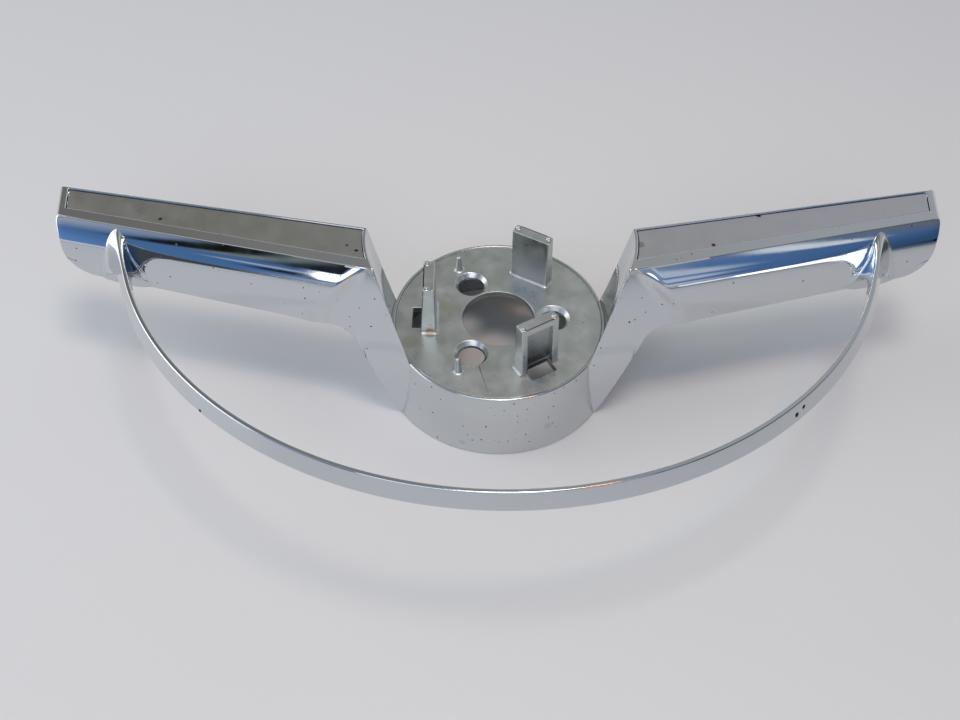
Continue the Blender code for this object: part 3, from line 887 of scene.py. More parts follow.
    def elevation_blank(self, name: str) -> bpy.types.Object:
        """Make the arm and leg as seen from the front, extruded along the raked end.

        Args:
            name: the object's name.

        Returns:
            The solid.
        """
        under = self.under_height + (self.end_x - self.elbow_x) * math.tan(self.under_rise)
        tip_top = Vector((self.end_x, 0, self.top_height))
        tip_corner = Vector((self.end_x - self.tip_draft, 0, under))
        elbow = Vector((self.elbow_x, 0, self.under_height))
        toe = Vector((self.toe_x, 0, 0.0))
        inner = self.hub_radius / 2
        points = [Vector((inner, 0, self.top_height))]
        points += rounded_corner(points[0], tip_top, tip_corner, self.tip_edge, 6)
        points += rounded_corner(tip_top, tip_corner, elbow, self.tip_radius, 20)
        points += rounded_corner(tip_corner, elbow, toe, self.elbow_radius, 14)
        points += [toe, Vector((inner, 0, 0))]
        return self.raked_prism(name, points)

    def rear_blank(self, name: str, inset: float) -> bpy.types.Object:
        """Make everything before the arm's rear face.

        Args:
            name: the object's name.
            inset: how far the face is brought forward.

        Returns:
            The solid.
        """
        start = self.start - self.outward * self.root_width + self.rear_inward * inset
        inner = start - self.rear_along * self.inner_reach
        outer = start + self.rear_along * (self.end_x + self.inner_reach)
        away = self.outward * CUTTER_REACH
        down = Vector((0, 0, -CUTTER_OVER))
        outline = [inner + down, outer + down, outer + away + down, inner + away + down]
        return prism(name, outline, Vector((0, 0, self.top_height + 2 * CUTTER_OVER)))

    def bowl(self) -> bpy.types.Object:
        """Make the leaning cone between the arms' inner ends.

        Returns:
            The cutter.
        """
        rise = self.top_height - self.hub_height
        low, high = -self.bowl_sunk / rise, (rise + CUTTER_OVER) / rise
        growth = self.bowl_radius - self.hub_radius
        foot = Vector((0, self.bowl_shift * low, self.hub_height - self.bowl_sunk))
        return cone("bowl", self.hub_radius + growth * low, self.hub_radius + growth * high, foot,
                    rise + self.bowl_sunk + CUTTER_OVER, self.bowl_shift * (high - low))

    def hub_core(self) -> bpy.types.Object:
        """Make the hub's outside less a little, so that the leg ends inside the hub's wall.

        Returns:
            The cutter.
        """
        foot = self.hub_radius + self.hub_flare - self.hub_overlap
        return cone("hub_core", foot, self.hub_radius - self.hub_overlap,
                    Vector((0, 0, -CUTTER_OVER)), self.hub_height + CUTTER_OVER)

    def hollow(self) -> bpy.types.Object:
        """Make the hollow under the arm, less its ribs.

        Returns:
            The cutter.
        """
        start = self.elbow_x + self.wall
        end = self.end_x - self.tip_wall
        roof = self.top_height - self.top_wall
        floor = self.under_height - CUTTER_OVER
        outline = [Vector((start, 0, floor)), Vector((end, 0, floor)), Vector((end, 0, roof)),
                   Vector((start, 0, roof))]
        hollow = self.raked_prism("hollow", outline)
        combine(hollow, self.front_blank("hollow_front", self.front_wall), Cut.KEEP)
        combine(hollow, self.rear_blank("hollow_rear", self.wall), Cut.KEEP)
        half = self.rib_thickness / 2
        low = roof - self.rib_depth
        top = roof + CUTTER_OVER
        for index in range(1, self.rib_count + 1):
            x = start + (end - start) * index / (self.rib_count + 1)
            rib = [Vector((x - half, 0, low)), Vector((x + half, 0, low)),
                   Vector((x + half, 0, top)), Vector((x - half, 0, top))]
            combine(hollow, self.raked_prism("rib", rib), Cut.REMOVE)
        return hollow

    def panel_blank(self, name: str, margin: float, low: float, high: float) -> bpy.types.Object:
        """Make a flat body with the recess's outline.

        Args:
            name: the object's name.
            margin: how far its edges stay inside the recess's.
            low: its underside's depth below the arm's top.
            high: its upper side's depth below the arm's top.

        Returns:
            The body.
        """
        front = self.start - self.outward * (self.front_rim + margin)
        rear = (self.start - self.outward * self.root_width
                + self.rear_inward * (self.rear_rim + margin))
        end_x = self.end_x - self.end_rim - margin
        corners = []
        for point, direction in ((front, self.along), (rear, self.rear_along)):
            gained = direction.x - direction.y * self.rake.x
            reach = (end_x - point.x + point.y * self.rake.x) / gained
            corners.append((point - direction * self.inner_reach, point + direction * reach))
        base = Vector((0, 0, self.top_height - low))
        outline = [corners[0][0] + base, corners[0][1] + base, corners[1][1] + base,
                   corners[1][0] + base]
        panel = prism(name, outline, Vector((0, 0, low - high)))
        radius = self.bowl_radius + self.inner_rim + margin
        foot = Vector((0, self.bowl_shift, self.top_height - low - CUTTER_OVER))
        inner_end = cone("inner_end", radius, radius, foot, low - high + 2 * CUTTER_OVER)
        combine(panel, inner_end, Cut.REMOVE)
        return panel

    def build_shell(self) -> bpy.types.Object:
        """Build the arm and leg as one casting, hollow from below, with the panel's recess.

        Returns:
            The casting, its edges still sharp.
        """
        shell = self.elevation_blank("arm_and_leg_right")
        combine(shell, self.front_blank("front", 0.0), Cut.KEEP)
        combine(shell, self.rear_blank("rear", 0.0), Cut.KEEP)
        combine(shell, self.bowl(), Cut.REMOVE)
        combine(shell, self.hub_core(), Cut.REMOVE)
        combine(shell, self.hollow(), Cut.REMOVE)
        recess = self.panel_blank("recess", 0.0, self.recess_depth, -CUTTER_OVER)
        combine(shell, recess, Cut.REMOVE)
        return shell

    def build_panel(self) -> bpy.types.Object:
        """Build the insert, lying in its recess."""
        low = self.recess_depth - self.gap
        return self.panel_blank("panel_insert_right", self.gap, low, low - self.panel_thickness)

    def dress(self, bright: bpy.types.Material, right: bpy.types.Material,
              left: bpy.types.Material) -> None:
        """Build both arms and inserts and dress them.

        Args:
            bright: the castings' finish.
            right: the right insert's finish.
            left: the left insert's finish.
        """
        shell = self.build_shell()
        panel = self.build_panel()
        twins = (mirrored(shell, "arm_and_leg_left"), mirrored(panel, "panel_insert_left"))
        # The edges are rounded after mirroring, because a mirrored copy loses its set normals.
        for casting, insert, side, brushed in ((shell, panel, "right", right),
                                               (*twins, "left", left)):
            round_edges(casting, self.edge_round, 3, 27)
            round_edges(insert, self.panel_edge_round, 2, 40)
            place(casting, bright, Slot.BRIGHT, ("arm_" + side, "leg_" + side))
            place(insert, brushed, Slot.PANEL, ("panel_" + side,))


# Half ring and roots

@dataclass
class HalfRing:
    """The slim ring and the two trumpets that spread it over the arms' front faces."""

    arm: Arm
    end_inset: float = 22.5 * MM
    setback: float = 25.2 * MM
    drop: float = 2.2 * MM
    tilt: float = math.radians(1.7)
    top_width: float = 1.5 * MM
    height: float = 6.6 * MM
    flare: float = 2.4 * MM
    inner_flare: float = 0.4 * MM
    corner: float = 0.45 * MM
    root_length: float = 27.7 * MM
    root_sunk: float = 0.6 * MM        # how deep the root's end sits in the arm
    ring_steps: int = 220
    root_steps: int = 26
    side_steps: int = 10
    bottom_steps: int = 6
    corner_steps: int = 5
    # How far each of a root's curves keeps its direction at the ring and on the arm, as shares.
    ring_pull: float = 0.5
    face_pull: float = 0.42
    face_pull_limit: float = 0.4
    # The root's outline on the arm's face: (along, drop) in mm from where the ring meets the crest.
    apex: tuple[float, float] = (0.0, 0.9)
    tip_side: tuple[tuple[float, float], ...] = (
        (2.2, 1.6), (3.7, 4.4), (4.9, 8.6), (6.6, 13.2), (8.2, 17.6), (8.2, 21.2))
    foot: tuple[float, float] = (0.0, 22.8)
    hub_side: tuple[tuple[float, float], ...] = (
        (-7.5, 22.6), (-12.4, 20.4), (-11.4, 16.2), (-8.8, 12.0), (-6.4, 8.2), (-4.4, 4.6),
        (-2.4, 1.8))

    def __post_init__(self) -> None:
        """Work out the circle, where it crosses the crest, and the roots' outline."""
        self.loop = [self.apex, *self.tip_side, self.foot, *self.hub_side]
        crossing_x = self.arm.end_x - self.end_inset
        self.station = (crossing_x - self.arm.start.x) / math.cos(self.arm.sweep)
        run = crossing_x - self.arm.start.x
        crossing_y = self.arm.start.y + run * math.tan(self.arm.sweep)
        level = self.arm.top_height - self.drop
        self.centre = Vector((0, crossing_y + self.setback, level))
        self.radius = math.hypot(crossing_x, self.setback)
        self.crossing_angle = math.atan2(self.setback, crossing_x)
        self.free_angle = self.crossing_angle + self.root_length / self.radius

    def at(self, angle: float, out: float, up: float) -> Vector:
        """Find a point beside the ring.

        Args:
            angle: the place round the ring, below +X.
            out: how far outside the ring's top outer edge.
            up: how far above it.

        Returns:
            The point.
        """
        radius = self.radius + out
        flat = Vector((radius * math.cos(angle), -radius * math.sin(angle), up))
        return Matrix.Rotation(-self.tilt, 3, "X") @ flat + self.centre

    def section(self) -> list[tuple[float, float]]:
        """Work out the ring's outline.

        Returns:
            Points as (out, up), from the middle of its top round the outside.
        """
        top_in = Vector((-self.top_width, 0, 0))
        top_out = Vector((0, 0, 0))
        low_out = Vector((self.flare, 0, -self.height))
        low_in = Vector((-self.top_width - self.inner_flare, 0, -self.height))
        points = [(top_in + top_out) / 2]
        points += rounded_corner(top_in, top_out, low_out, self.corner, self.corner_steps)
        turns = ((top_out, low_out, low_in, self.side_steps),
                 (low_out, low_in, top_in, self.bottom_steps),
                 (low_in, top_in, top_out, self.side_steps))
        for before, middle, after, steps in turns:
            turn = rounded_corner(before, middle, after, self.corner, self.corner_steps)
            last = points[-1]
            points += [last.lerp(turn[0], step / steps) for step in range(1, steps)]
            points += turn
        return [(point.x, point.z) for point in points]

    def footprint(self) -> list[tuple[float, float]]:
        """Work out the root's outline on the arm's face, matched to the section's points.

        Returns:
            Points as (along, drop).
        """
        side_count = 2 * (self.corner_steps + 1) + self.side_steps - 1
        bottom_count = self.bottom_steps - 1
        bottom = len(self.tip_side)
        inner = len(self.loop) - 1 - bottom
        points = [self.on_loop(0.0)]
        for index in range(1, side_count + 1):
            points.append(self.on_loop((bottom - 1) * index / side_count))
        for index in range(1, bottom_count + 1):
            points.append(self.on_loop(bottom - 1 + 2 * index / (bottom_count + 1)))
        for index in range(side_count):
            points.append(self.on_loop(bottom + 1 + (inner - 1) * index / side_count))
        return [(along * MM, drop * MM) for along, drop in points]

    def on_loop(self, place_on: float) -> tuple[float, float]:
        """Find a point on the smooth closed curve through the loop's points.

        Args:
            place_on: the place, where whole numbers are the loop's own points.

        Returns:
            The point as (along, drop), in mm.
        """
        loop = self.loop
        index = int(place_on)
        t = place_on - index
        near = [Vector(loop[(index + step) % len(loop)]) for step in (-1, 0, 1, 2)]
        before, first, second, after = near
        mixed = (2 * first + (second - before) * t
                 + (2 * before - 5 * first + 4 * second - after) * t ** 2
                 + (3 * first - before - 3 * second + after) * t ** 3) / 2
        return mixed.x, mixed.y

    def root_curve(self, index: int, section: list[tuple[float, float]],
                   foot: list[tuple[float, float]]) -> tuple[Vector, Vector, Vector, Vector]:
        """Work out one curve of the right root, from the free ring to the arm's face.

        Args:
            index: which of the section's points it starts from.
            section: the ring's outline.
            foot: the root's outline on the arm.

        Returns:
            The four points of a cubic curve.
        """
        nudge = 0.001
        out, up = section[index]
        along, drop = foot[index]
        start = self.at(self.free_angle, out, up)
        heading = (self.at(self.free_angle - nudge, out, up) - start).normalized()
        end = self.arm.front(self.station + along, drop)
        before = foot[index - 1]
        after = foot[(index + 1) % len(foot)]
        step = Vector((after[0] - before[0], after[1] - before[1]))
        normal = Vector((step.y, -step.x)) if step.length else Vector((0, -1))
        normal.normalize()
        probe_reach = 0.5 * MM
        probe = self.arm.front(self.station + along + normal.x * probe_reach,
                               drop + normal.y * probe_reach)
        spread = (probe - end).normalized()
        distance = (end - start).length
        sideways = math.hypot(along + self.top_width / 2, drop - self.drop + up)
        pull = min(self.face_pull * sideways, self.face_pull_limit * distance)
        return start, start + heading * self.ring_pull * distance, end - spread * pull, end

    def root_rows(self) -> list[list[Vector]]:
        """Work out the right root's loops.

        Returns:
            The loops, from inside the arm's face to the free ring.
        """
        section = self.section()
        foot = self.footprint()
        curves = [self.root_curve(index, section, foot) for index in range(len(section))]
        rows = []
        for step in range(self.root_steps + 1):
            t = 1 - step / self.root_steps
            rows.append([self.bezier(curve, t) for curve in curves])
        inside = [point - self.arm.outward * self.root_sunk for point in rows[0]]
        return [inside] + rows

    @staticmethod
    def bezier(points: tuple[Vector, Vector, Vector, Vector], t: float) -> Vector:
        """Find a point on a cubic curve."""
        s = 1 - t
        return (points[0] * s ** 3 + points[1] * 3 * s * s * t + points[2] * 3 * s * t * t
                + points[3] * t ** 3)

    def build(self) -> bpy.types.Object:
        """Build the ring and both roots as one casting.

        Returns:
            The casting.
        """
        root = self.root_rows()
        section = self.section()
        rows = list(root)
        sweep = math.pi - 2 * self.free_angle
        for step in range(1, self.ring_steps):
            angle = self.free_angle + sweep * step / self.ring_steps
            rows.append([self.at(angle, out, up) for out, up in section])
        flip = Matrix.Diagonal((-1.0, 1.0, 1.0))
        rows += [[flip @ point for point in row] for row in reversed(root)]
        return skin("half_ring_and_roots", rows, True)

    def dress(self, bright: bpy.types.Material) -> None:
        """Build the ring and dress it."""
        nodes = ("half_ring", "ring_root_left", "ring_root_right")
        place(self.build(), bright, Slot.BRIGHT, nodes)


# Hub

@dataclass
class Hub:
    """The conical hub with its plate, catch posts and locating pins."""

    top_radius: float = HUB_TOP_RADIUS
    flare: float = HUB_FLARE
    height: float = HUB_HEIGHT
    wall: float = 2.4 * MM
    roll: float = 0.6 * MM
    lip: float = 1.3 * MM
    lip_round: float = 0.2 * MM
    base_edge: float = 0.3 * MM
    wall_steps: int = 288
    plate_thickness: float = 2.8 * MM
    plate_drop: float = 0.4 * MM
    plate_gap: float = 0.02 * MM
    plate_round: float = 0.3 * MM
    centre_hole: float = 14.3 * MM
    mount_hole: float = 5.2 * MM
    mount_lead: float = 6.7 * MM
    mount_lead_depth: float = 1.7 * MM
    mount_pitch: float = 21.6 * MM
    mount_azimuths: tuple[float, ...] = (0, 120, 240)
    mount_steps: int = 96
    post_azimuths: tuple[tuple[str, float], ...] = (("rear", 60), ("left", 180), ("front", 300))
    post_radius: float = 24.6 * MM
    post_width: float = 16.0 * MM
    post_height: float = 23.0 * MM
    post_foot: float = 5.9 * MM
    post_head: float = 4.3 * MM
    post_round: float = 0.38 * MM
    web: float = 2.2 * MM
    flange: float = 2.6 * MM
    head_bar: float = 3.2 * MM
    nub: float = 1.3 * MM
    nub_head: float = 0.8 * MM
    nub_rise: float = 0.9 * MM
    slot_reach: float = 3.4 * MM
    fillet: float = 1.3 * MM
    fillet_corner: float = 0.5 * MM
    fillet_sunk: float = 0.05 * MM     # how far the fillet's edge goes into the post
    pin_azimuths: tuple[tuple[str, float], ...] = (("rear", 120), ("front", 240))
    pin_pitch: float = 31.5 * MM
    pin_foot: float = 1.4 * MM
    pin_head: float = 1.0 * MM
    pin_height: float = 7.0 * MM
    pin_fillet: float = 0.9 * MM
    pin_sunk: float = 0.1 * MM

    def __post_init__(self) -> None:
        """Work out the plate's upper face."""
        self.plate_top = self.height - self.plate_drop

    def build_wall(self) -> bpy.types.Object:
        """Build the conical wall with its rolled upper edge and a softened base edge.

        Returns:
            The wall.
        """
        base = self.top_radius + self.flare
        edge = self.base_edge
        profile = [(base - edge, 0.0), (base - 0.1 * MM, 0.1 * MM), (base - 0.04 * MM, edge)]
        profile += arc((self.top_radius - self.roll, self.height - self.roll), self.roll, 8, 90, 7)
        lip_centre = (self.top_radius - self.lip + self.lip_round, self.height - self.lip_round)
        profile += arc(lip_centre, self.lip_round, 90, 180, 3)
        profile += [(self.top_radius - self.lip, self.plate_top - self.plate_thickness)]
        profile += [(base - self.wall, edge), (base - self.wall + edge, 0.0)]
        wall = turned("hub_wall", profile, self.wall_steps)
        wall.data.set_sharp_from_angle(angle=math.radians(40))
        return wall

    def build_plate(self) -> bpy.types.Object:
        """Build the plate with its centre hole, mounting holes and slots.

        Returns:
            The plate.
        """
        bottom = self.plate_top - self.plate_thickness
        radius = self.top_radius - self.lip - self.plate_gap
        deep = self.plate_thickness + 2 * CUTTER_OVER
        low = Vector((0, 0, bottom - CUTTER_OVER))
        foot = Vector((0, 0, bottom))
        plate = cone("hub_plate_face", radius, radius, foot, self.plate_thickness)
        centre = cone("centre", self.centre_hole, self.centre_hole, low, deep)
        combine(plate, centre, Cut.REMOVE)
        widening = (self.mount_lead - self.mount_hole) / self.mount_lead_depth
        for azimuth in self.mount_azimuths:
            turn = math.radians(azimuth)
            spot = Vector((math.cos(turn), math.sin(turn), 0)) * self.mount_pitch
            hole = cone("hole", self.mount_hole, self.mount_hole, low + spot, deep,
                        steps=self.mount_steps)
            combine(plate, hole, Cut.REMOVE)
            lead_foot = spot + Vector((0, 0, self.plate_top - self.mount_lead_depth))
            lead = cone("lead", self.mount_hole, self.mount_lead + widening * CUTTER_OVER,
                        lead_foot, self.mount_lead_depth + CUTTER_OVER, steps=self.mount_steps)
            combine(plate, lead, Cut.REMOVE)
        half = self.post_width / 2 - self.flange
        slot_start = self.post_radius + self.web
        slot_end = self.post_radius + self.post_foot + self.slot_reach
        for _, azimuth in self.post_azimuths:
            slot = block("slot", Vector((slot_start, -half, bottom - CUTTER_OVER)),
                         Vector((slot_end, half, self.plate_top + CUTTER_OVER)))
            slot.rotation_euler.z = math.radians(azimuth)
            combine(plate, slot, Cut.REMOVE)
        round_edges(plate, self.plate_round, 3, 30, True)
        return plate

    def build_post(self, side: str, azimuth: float) -> bpy.types.Object:
        """Build one catch post: web, two flanges, head bar and two nubs.

        Args:
            side: the post's name.
            azimuth: where round the plate it stands, in degrees.

        Returns:
            The post.
        """
        half = self.post_width / 2
        outline = [Vector((0, -half, 0)), Vector((self.post_foot, -half, 0)),
                   Vector((self.post_head, -half, self.post_height)),
                   Vector((0, -half, self.post_height))]
        post = prism("catch_post_casting_" + side, outline, Vector((0, self.post_width, 0)))
        inner = half - self.flange
        low = Vector((self.web, -inner, -CUTTER_OVER))
        high = Vector((self.post_foot + CUTTER_OVER, inner, self.post_height - self.head_bar))
        combine(post, block("channel", low, high), Cut.REMOVE)
        sunk = self.head_bar / 2
        for sign in (-1, 1):
            foot = Vector((self.post_head - self.nub, sign * (half - self.nub),
                           self.post_height - sunk))
            nub = cone("nub", self.nub, self.nub_head, foot, sunk + self.nub_rise, steps=32)
            combine(post, nub, Cut.JOIN)
        round_edges(post, self.post_round, 3, 30)
        self.set_up(post, self.post_radius, azimuth)
        return post

    def build_post_foot(self, side: str, azimuth: float) -> bpy.types.Object:
        """Build the fillet round a post's foot, on its three closed sides.

        Args:
            side: the post's name.
            azimuth: where round the plate it stands, in degrees.

        Returns:
            The fillet.
        """
        half = self.post_width / 2
        corner = self.fillet_corner
        rows = []
        for step in range(9):
            angle = math.pi / 2 * step / 8
            out = self.fillet * (1 - math.sin(angle)) - self.fillet_sunk
            up = self.fillet * (1 - math.cos(angle))
            row = [Vector((self.post_foot - corner, -half - out, up))]
            for sign, begin in ((-1, 270), (1, 180)):
                for turn in range(7):
                    at = math.radians(begin - 15 * turn)
                    row.append(Vector((corner + (corner + out) * math.cos(at),
                                       sign * (half - corner) + (corner + out) * math.sin(at),
                                       up)))
            row.append(Vector((self.post_foot - corner, half + out, up)))
            rows.append(row)
        bm = bmesh.new()
        lines = [[bm.verts.new(point) for point in row] for row in rows]
        for line, following in zip(lines, lines[1:]):
            for index in range(len(line) - 1):
                bm.faces.new((line[index], line[index + 1], following[index + 1],
                              following[index]))
        fillet = link_mesh("post_foot_fillet_" + side, bm)
        self.set_up(fillet, self.post_radius, azimuth)
        return fillet

    def build_pin(self, side: str, azimuth: float) -> bpy.types.Object:
        """Build one tapered pin with a fillet at its foot and a domed head.

        Args:
            side: the pin's name.
            azimuth: where round the plate it stands, in degrees.

        Returns:
            The pin.
        """
        spread = self.pin_foot + self.pin_fillet
        profile = [(0.02 * MM, -self.pin_sunk), (spread, -self.pin_sunk)]
        profile += arc((spread, self.pin_fillet), self.pin_fillet, 270, 180, 6)
        profile += arc((0.0, self.pin_height - self.pin_head), self.pin_head, 5, 88, 9)
        pin = turned("locating_pin_casting_" + side, profile, 48)
        self.set_up(pin, self.pin_pitch, azimuth)
        return pin

    def set_up(self, obj: bpy.types.Object, radius: float, azimuth: float) -> None:
        """Stand a piece on the plate.

        Args:
            obj: the piece, which faces +X.
            radius: how far from the hub's axis.
            azimuth: where round the plate, in degrees.
        """
        angle = math.radians(azimuth)
        spot = Vector((radius * math.cos(angle), radius * math.sin(angle), self.plate_top))
        obj.data.transform(Matrix.Translation(spot) @ Matrix.Rotation(angle, 4, "Z"))

    def dress(self, wall: bpy.types.Material, cast: bpy.types.Material) -> None:
        """Build the hub's pieces and dress them.

        Args:
            wall: the wall's finish.
            cast: the finish of the plate, posts and pins.
        """
        place(self.build_wall(), wall, Slot.BRIGHT, ("hub_skirt",))
        place(self.build_plate(), cast, Slot.SATIN, ("hub_plate",))
        for side, azimuth in self.post_azimuths:
            place(self.build_post(side, azimuth), cast, Slot.SATIN, ("catch_post_" + side,))
            place(self.build_post_foot(side, azimuth), cast, Slot.SATIN, ())
        for side, azimuth in self.pin_azimuths:
            place(self.build_pin(side, azimuth), cast, Slot.SATIN, ("locating_pin_" + side,))


# Stage

@dataclass(frozen=True)
class SoftCard:
    """A soft oval card in the surroundings that the bright metal mirrors.

    Attributes:
        azimuth: degrees from the front towards +X.
        elevation: degrees above the table.
        width: degrees from its middle to the middle of its soft edge, sideways.
        height: the same, upwards.
        colour: sRGB hex.
        strength: how much it covers.
    """

    azimuth: float
    elevation: float
    width: float
    height: float
    colour: str
    strength: float = 1.0

    def lay(self, tree: bpy.types.NodeTree, direction: bpy.types.NodeSocket,
            below: bpy.types.NodeSocket) -> bpy.types.NodeSocket:
        """Lay the card over what is there.

        Args:
            tree: the world's tree.
            direction: the direction looked at.
            below: the colour without the card.

        Returns:
            The colour with the card.
        """
        turn, rise = math.radians(self.azimuth), math.radians(self.elevation)
        middle = Vector((math.sin(turn) * math.cos(rise), -math.cos(turn) * math.cos(rise),
                         math.sin(rise)))
        across = Vector((math.cos(turn), math.sin(turn), 0.0)) / math.radians(self.width)
        upward = middle.cross(across).normalized() / math.radians(self.height)
        parts = []
        for axis in (across, upward, -middle):
            dot = add_node(tree, "ShaderNodeVectorMath", {"operation": "DOT_PRODUCT", 1: axis},
                           {0: direction})
            parts.append(dot.outputs["Value"])
        # The third part keeps the card off the opposite side of the surroundings.
        behind = add_node(tree, "ShaderNodeMapRange",
                          {"From Min": -0.5, "From Max": 0.5, "To Max": 9.0}, {"Value": parts[2]})
        joined = add_node(tree, "ShaderNodeCombineXYZ", {},
                          {0: parts[0], 1: parts[1], 2: behind.outputs[0]})
        away = add_node(tree, "ShaderNodeVectorMath", {"operation": "LENGTH"},
                        {0: joined.outputs[0]})
        fading = {"interpolation_type": "SMOOTHSTEP", "From Min": 1.4, "From Max": 0.6,
                  "To Max": self.strength}
        mask = add_node(tree, "ShaderNodeMapRange", fading, {"Value": away.outputs["Value"]})
        mixed = add_node(tree, "ShaderNodeMix", {"data_type": "RGBA", 7: linear(self.colour)},
                         {0: mask.outputs[0], 6: below})
        return mixed.outputs[2]


CARDS = (
    # Mirrored in the left arm's belly.
    SoftCard(-50.5, 54, 2.5, 7, "7f8c88", 0.9),
    SoftCard(-55, 52, 2.2, 8, "161616"),
    SoftCard(-43, 56, 3, 8, "20242c"),
    SoftCard(-36, 30, 2.5, 5, "1a2030"),
    SoftCard(-41, 39, 3, 2.5, "b8c6da", 0.8),
    SoftCard(-28, 14, 6, 8, "b4c0d0", 0.8),
    # Mirrored in the right arm's belly, the last but two as a warm glow.
    SoftCard(44, 50, 3, 12, "c8d2e6", 0.9),
    SoftCard(36, 30, 4, 8, "c8d2e6", 0.9),
    SoftCard(30, 12, 7, 6, "c8d0e0"),
    SoftCard(17, 2, 8, 8, "f4bd8c"),
    SoftCard(59.5, 49, 1.6, 5, "e6ecf6"),
    SoftCard(52, 10, 4, 5, "10131c"),
    # The pale wall behind.
    SoftCard(180, 12, 60, 14, "e8eaec", 0.9),
)

# Colours of the surroundings by the direction's X, from -1 on the left to 1 on the right.
Band = tuple[tuple[float, str], ...]
SIDES: Band = ((-0.9, "dde2ea"), (-0.4, "c2c4c8"), (0.1, "a8a9aa"), (0.9, "5c6060"))
REAR: Band = ((-0.35, "7c7a76"), (-0.1, "8c8d8b"), (0.1, "a3a6a3"), (0.35, "b0b3b8"))
FRONT: Band = ((-0.75, "6f97d6"), (-0.6, "5077aa"), (-0.45, "4c709f"), (0.4, "8f9fb8"),
               (0.5, "557aae"), (0.62, "4d70a2"), (0.72, "39567c"))
CEILING: Band = ((-0.5, "d6d8da"), (0.5, "b4b6b6"))
HORIZON: Band = ((-0.8, "dfe2e6"), (0.0, "a9abb0"), (0.8, "74787a"))


@dataclass(frozen=True)
class SoftLight:
    """A soft rectangular light that faces the object.

    Attributes:
        name: the light's name.
        spot: where it hangs, in metres.
        size: its width and height, in metres.
        power: in watts.
        colour: sRGB hex.
    """

    name: str
    spot: tuple[float, float, float]
    size: tuple[float, float]
    power: float
    colour: str

    def hang(self, target: Vector) -> None:
        """Add the light to the scene.

        Args:
            target: the point that it faces.
        """
        data = bpy.data.lights.new(self.name, "AREA")
        data.shape = "RECTANGLE"
        data.size, data.size_y = self.size
        data.energy = self.power
        data.color = linear(self.colour)[:3]
        light = bpy.data.objects.new(self.name, data)
        light.location = self.spot
        light.rotation_euler = (target - Vector(self.spot)).to_track_quat("-Z", "Y").to_euler()
        bpy.context.scene.collection.objects.link(light)


LIGHTS = (
    SoftLight("overhead", (0.06, -0.09, 0.95), (0.25, 0.25), 2.1, "fffdf8"),
    SoftLight("left_window", (-1.4, 0.5, 0.8), (1.0, 1.5), 6.0, "f8faff"),
    SoftLight("low_left_window", (-1.5, -0.1, 0.42), (1.3, 0.6), 5.0, "f8faff"),
    SoftLight("front_fill", (-0.25, -1.1, 0.95), (1.1, 0.7), 4.6, "fffdf8"),
    SoftLight("warm_lamp", (0.36, -0.16, 1.3), (0.13, 0.13), 0.9, "ff9a3c"),
)


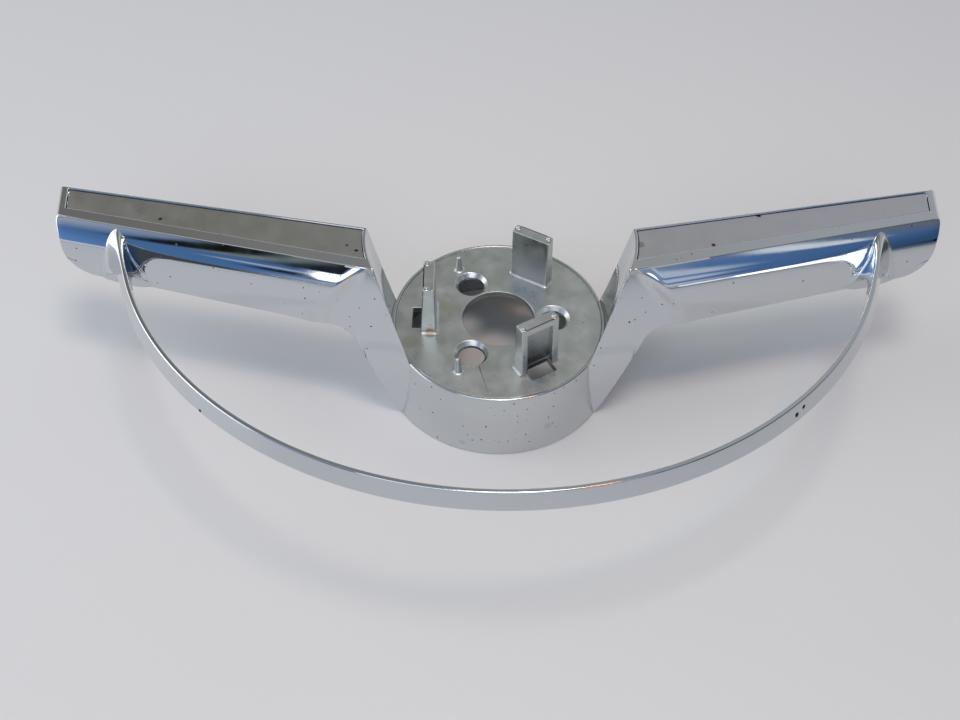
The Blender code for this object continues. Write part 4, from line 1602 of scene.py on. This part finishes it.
@dataclass
class Studio:
    """Pale table, soft lights, pale and blue surroundings and the camera."""

    lens: float = 37.5
    sensor: float = 36.0
    eye: Vector = Vector((-11.0, -270.0, 317.0)) * MM
    pitch: float = math.radians(49.36)
    yaw: float = math.radians(-0.83)
    roll: float = math.radians(0.77)
    table_size: float = 1.6            # from its middle to its edge, in metres
    table_gap: float = 0.05 * MM       # keeps the hub's base off the table's plane
    middle_height: float = 0.03        # the height that the lights face, in metres

    def build_camera(self) -> None:
        """Set up a camera that looks down over the half ring."""
        data = bpy.data.cameras.new("camera")
        data.lens = self.lens
        data.sensor_width = self.sensor
        data.clip_start = 10 * MM
        camera = bpy.data.objects.new("camera", data)
        turn = Matrix.Rotation(self.yaw, 3, "Z")
        ahead = turn @ Vector((0, math.cos(self.pitch), -math.sin(self.pitch)))
        up = turn @ Vector((0, math.sin(self.pitch), math.cos(self.pitch)))
        right = turn @ Vector((1, 0, 0))
        across = right * math.cos(self.roll) + up * math.sin(self.roll)
        upright = up * math.cos(self.roll) - right * math.sin(self.roll)
        axes = Matrix((across, upright, -ahead)).transposed()
        camera.matrix_world = Matrix.Translation(self.eye) @ axes.to_4x4()
        bpy.context.scene.collection.objects.link(camera)
        bpy.context.scene.camera = camera

    def build_table(self) -> None:
        """Lay a pale matt laminate table top: even in colour, with no mirror image in it."""
        bm = bmesh.new()
        bmesh.ops.create_grid(bm, x_segments=4, y_segments=4, size=self.table_size)
        table = link_mesh("table", bm)
        table.location.z = -self.table_gap
        material = bpy.data.materials.new("matt_laminate")
        material.use_nodes = True
        shader = material.node_tree.nodes["Principled BSDF"]
        shader.inputs["Base Color"].default_value = linear("dcdcdb")
        shader.inputs["Roughness"].default_value = 0.55
        table.data.materials.append(material)

    def build_surround(self) -> None:
        """Colour the surroundings by direction: blue before the object, grey behind it."""
        world = bpy.data.worlds.new("surround")
        world.use_nodes = True
        tree = world.node_tree
        spot = add_node(tree, "ShaderNodeTexCoord", {}, {}).outputs["Generated"]
        x, y, z = add_node(tree, "ShaderNodeSeparateXYZ", {}, {0: spot}).outputs[:3]
        colour = self.band(tree, x, SIDES)
        colour = self.over_where(tree, colour, self.band(tree, x, REAR), y, (0.1, 0.4))
        colour = self.over_where(tree, colour, self.band(tree, x, FRONT), y, (-0.15, -0.4))
        colour = self.over_where(tree, colour, self.band(tree, x, CEILING), z, (0.95, 0.985))
        colour = self.over_where(tree, colour, self.band(tree, x, HORIZON), z, (0.09, 0.03))
        for card in CARDS:
            colour = card.lay(tree, spot, colour)
        tree.links.new(colour, tree.nodes["Background"].inputs["Color"])
        bpy.context.scene.world = world

    @staticmethod
    def band(tree: bpy.types.NodeTree, place_on: bpy.types.NodeSocket, stops: Band
             ) -> bpy.types.NodeSocket:
        """Make colours along a value that goes from -1 to 1.

        Args:
            tree: the world's tree.
            place_on: the value.
            stops: pairs of value and sRGB hex colour, in order.

        Returns:
            The colour's socket.
        """
        share = add_node(tree, "ShaderNodeMapRange", {"From Min": -1.0, "From Max": 1.0},
                         {"Value": place_on})
        ramp = add_node(tree, "ShaderNodeValToRGB", {}, {0: share.outputs[0]})
        ramp.color_ramp.interpolation = "EASE"
        elements = ramp.color_ramp.elements
        while len(elements) < len(stops):
            elements.new(0.5)
        for element, (value, hex_colour) in zip(elements, stops):
            element.position = (value + 1) / 2
            element.color = linear(hex_colour)
        return ramp.outputs[0]

    @staticmethod
    def over_where(tree: bpy.types.NodeTree, below: bpy.types.NodeSocket,
                   above: bpy.types.NodeSocket, value: bpy.types.NodeSocket,
                   limits: tuple[float, float]) -> bpy.types.NodeSocket:
        """Lay one colour over another where a value has passed from one limit to the other.

        Args:
            tree: the world's tree.
            below: the colour underneath.
            above: the colour on top.
            value: the value.
            limits: where the upper colour begins, and where it covers fully.

        Returns:
            The colour's socket.
        """
        fading = {"interpolation_type": "SMOOTHSTEP", "From Min": limits[0],
                  "From Max": limits[1]}
        mask = add_node(tree, "ShaderNodeMapRange", fading, {"Value": value})
        mixed = add_node(tree, "ShaderNodeMix", {"data_type": "RGBA"},
                         {0: mask.outputs[0], 6: below, 7: above})
        return mixed.outputs[2]

    def build(self) -> None:
        """Set up everything that isn't the object."""
        self.build_camera()
        self.build_table()
        self.build_surround()
        for light in LIGHTS:
            light.hang(Vector((0, 0, self.middle_height)))
        bpy.context.scene.view_settings.view_transform = "Standard"


def main() -> None:
    """Build the stage, then each sub-assembly."""
    logging.basicConfig(level=logging.INFO, format="%(name)s %(message)s")
    Studio().build()
    bright = BRIGHT.build()
    arm = Arm()
    arm.dress(bright, INSERT_RIGHT.build(), INSERT_LEFT_SHADED.build())
    HalfRing(arm).dress(RING.build())
    Hub().dress(HUB_WALL.build(), CAST.build())


if __name__ == "__main__":
    main()
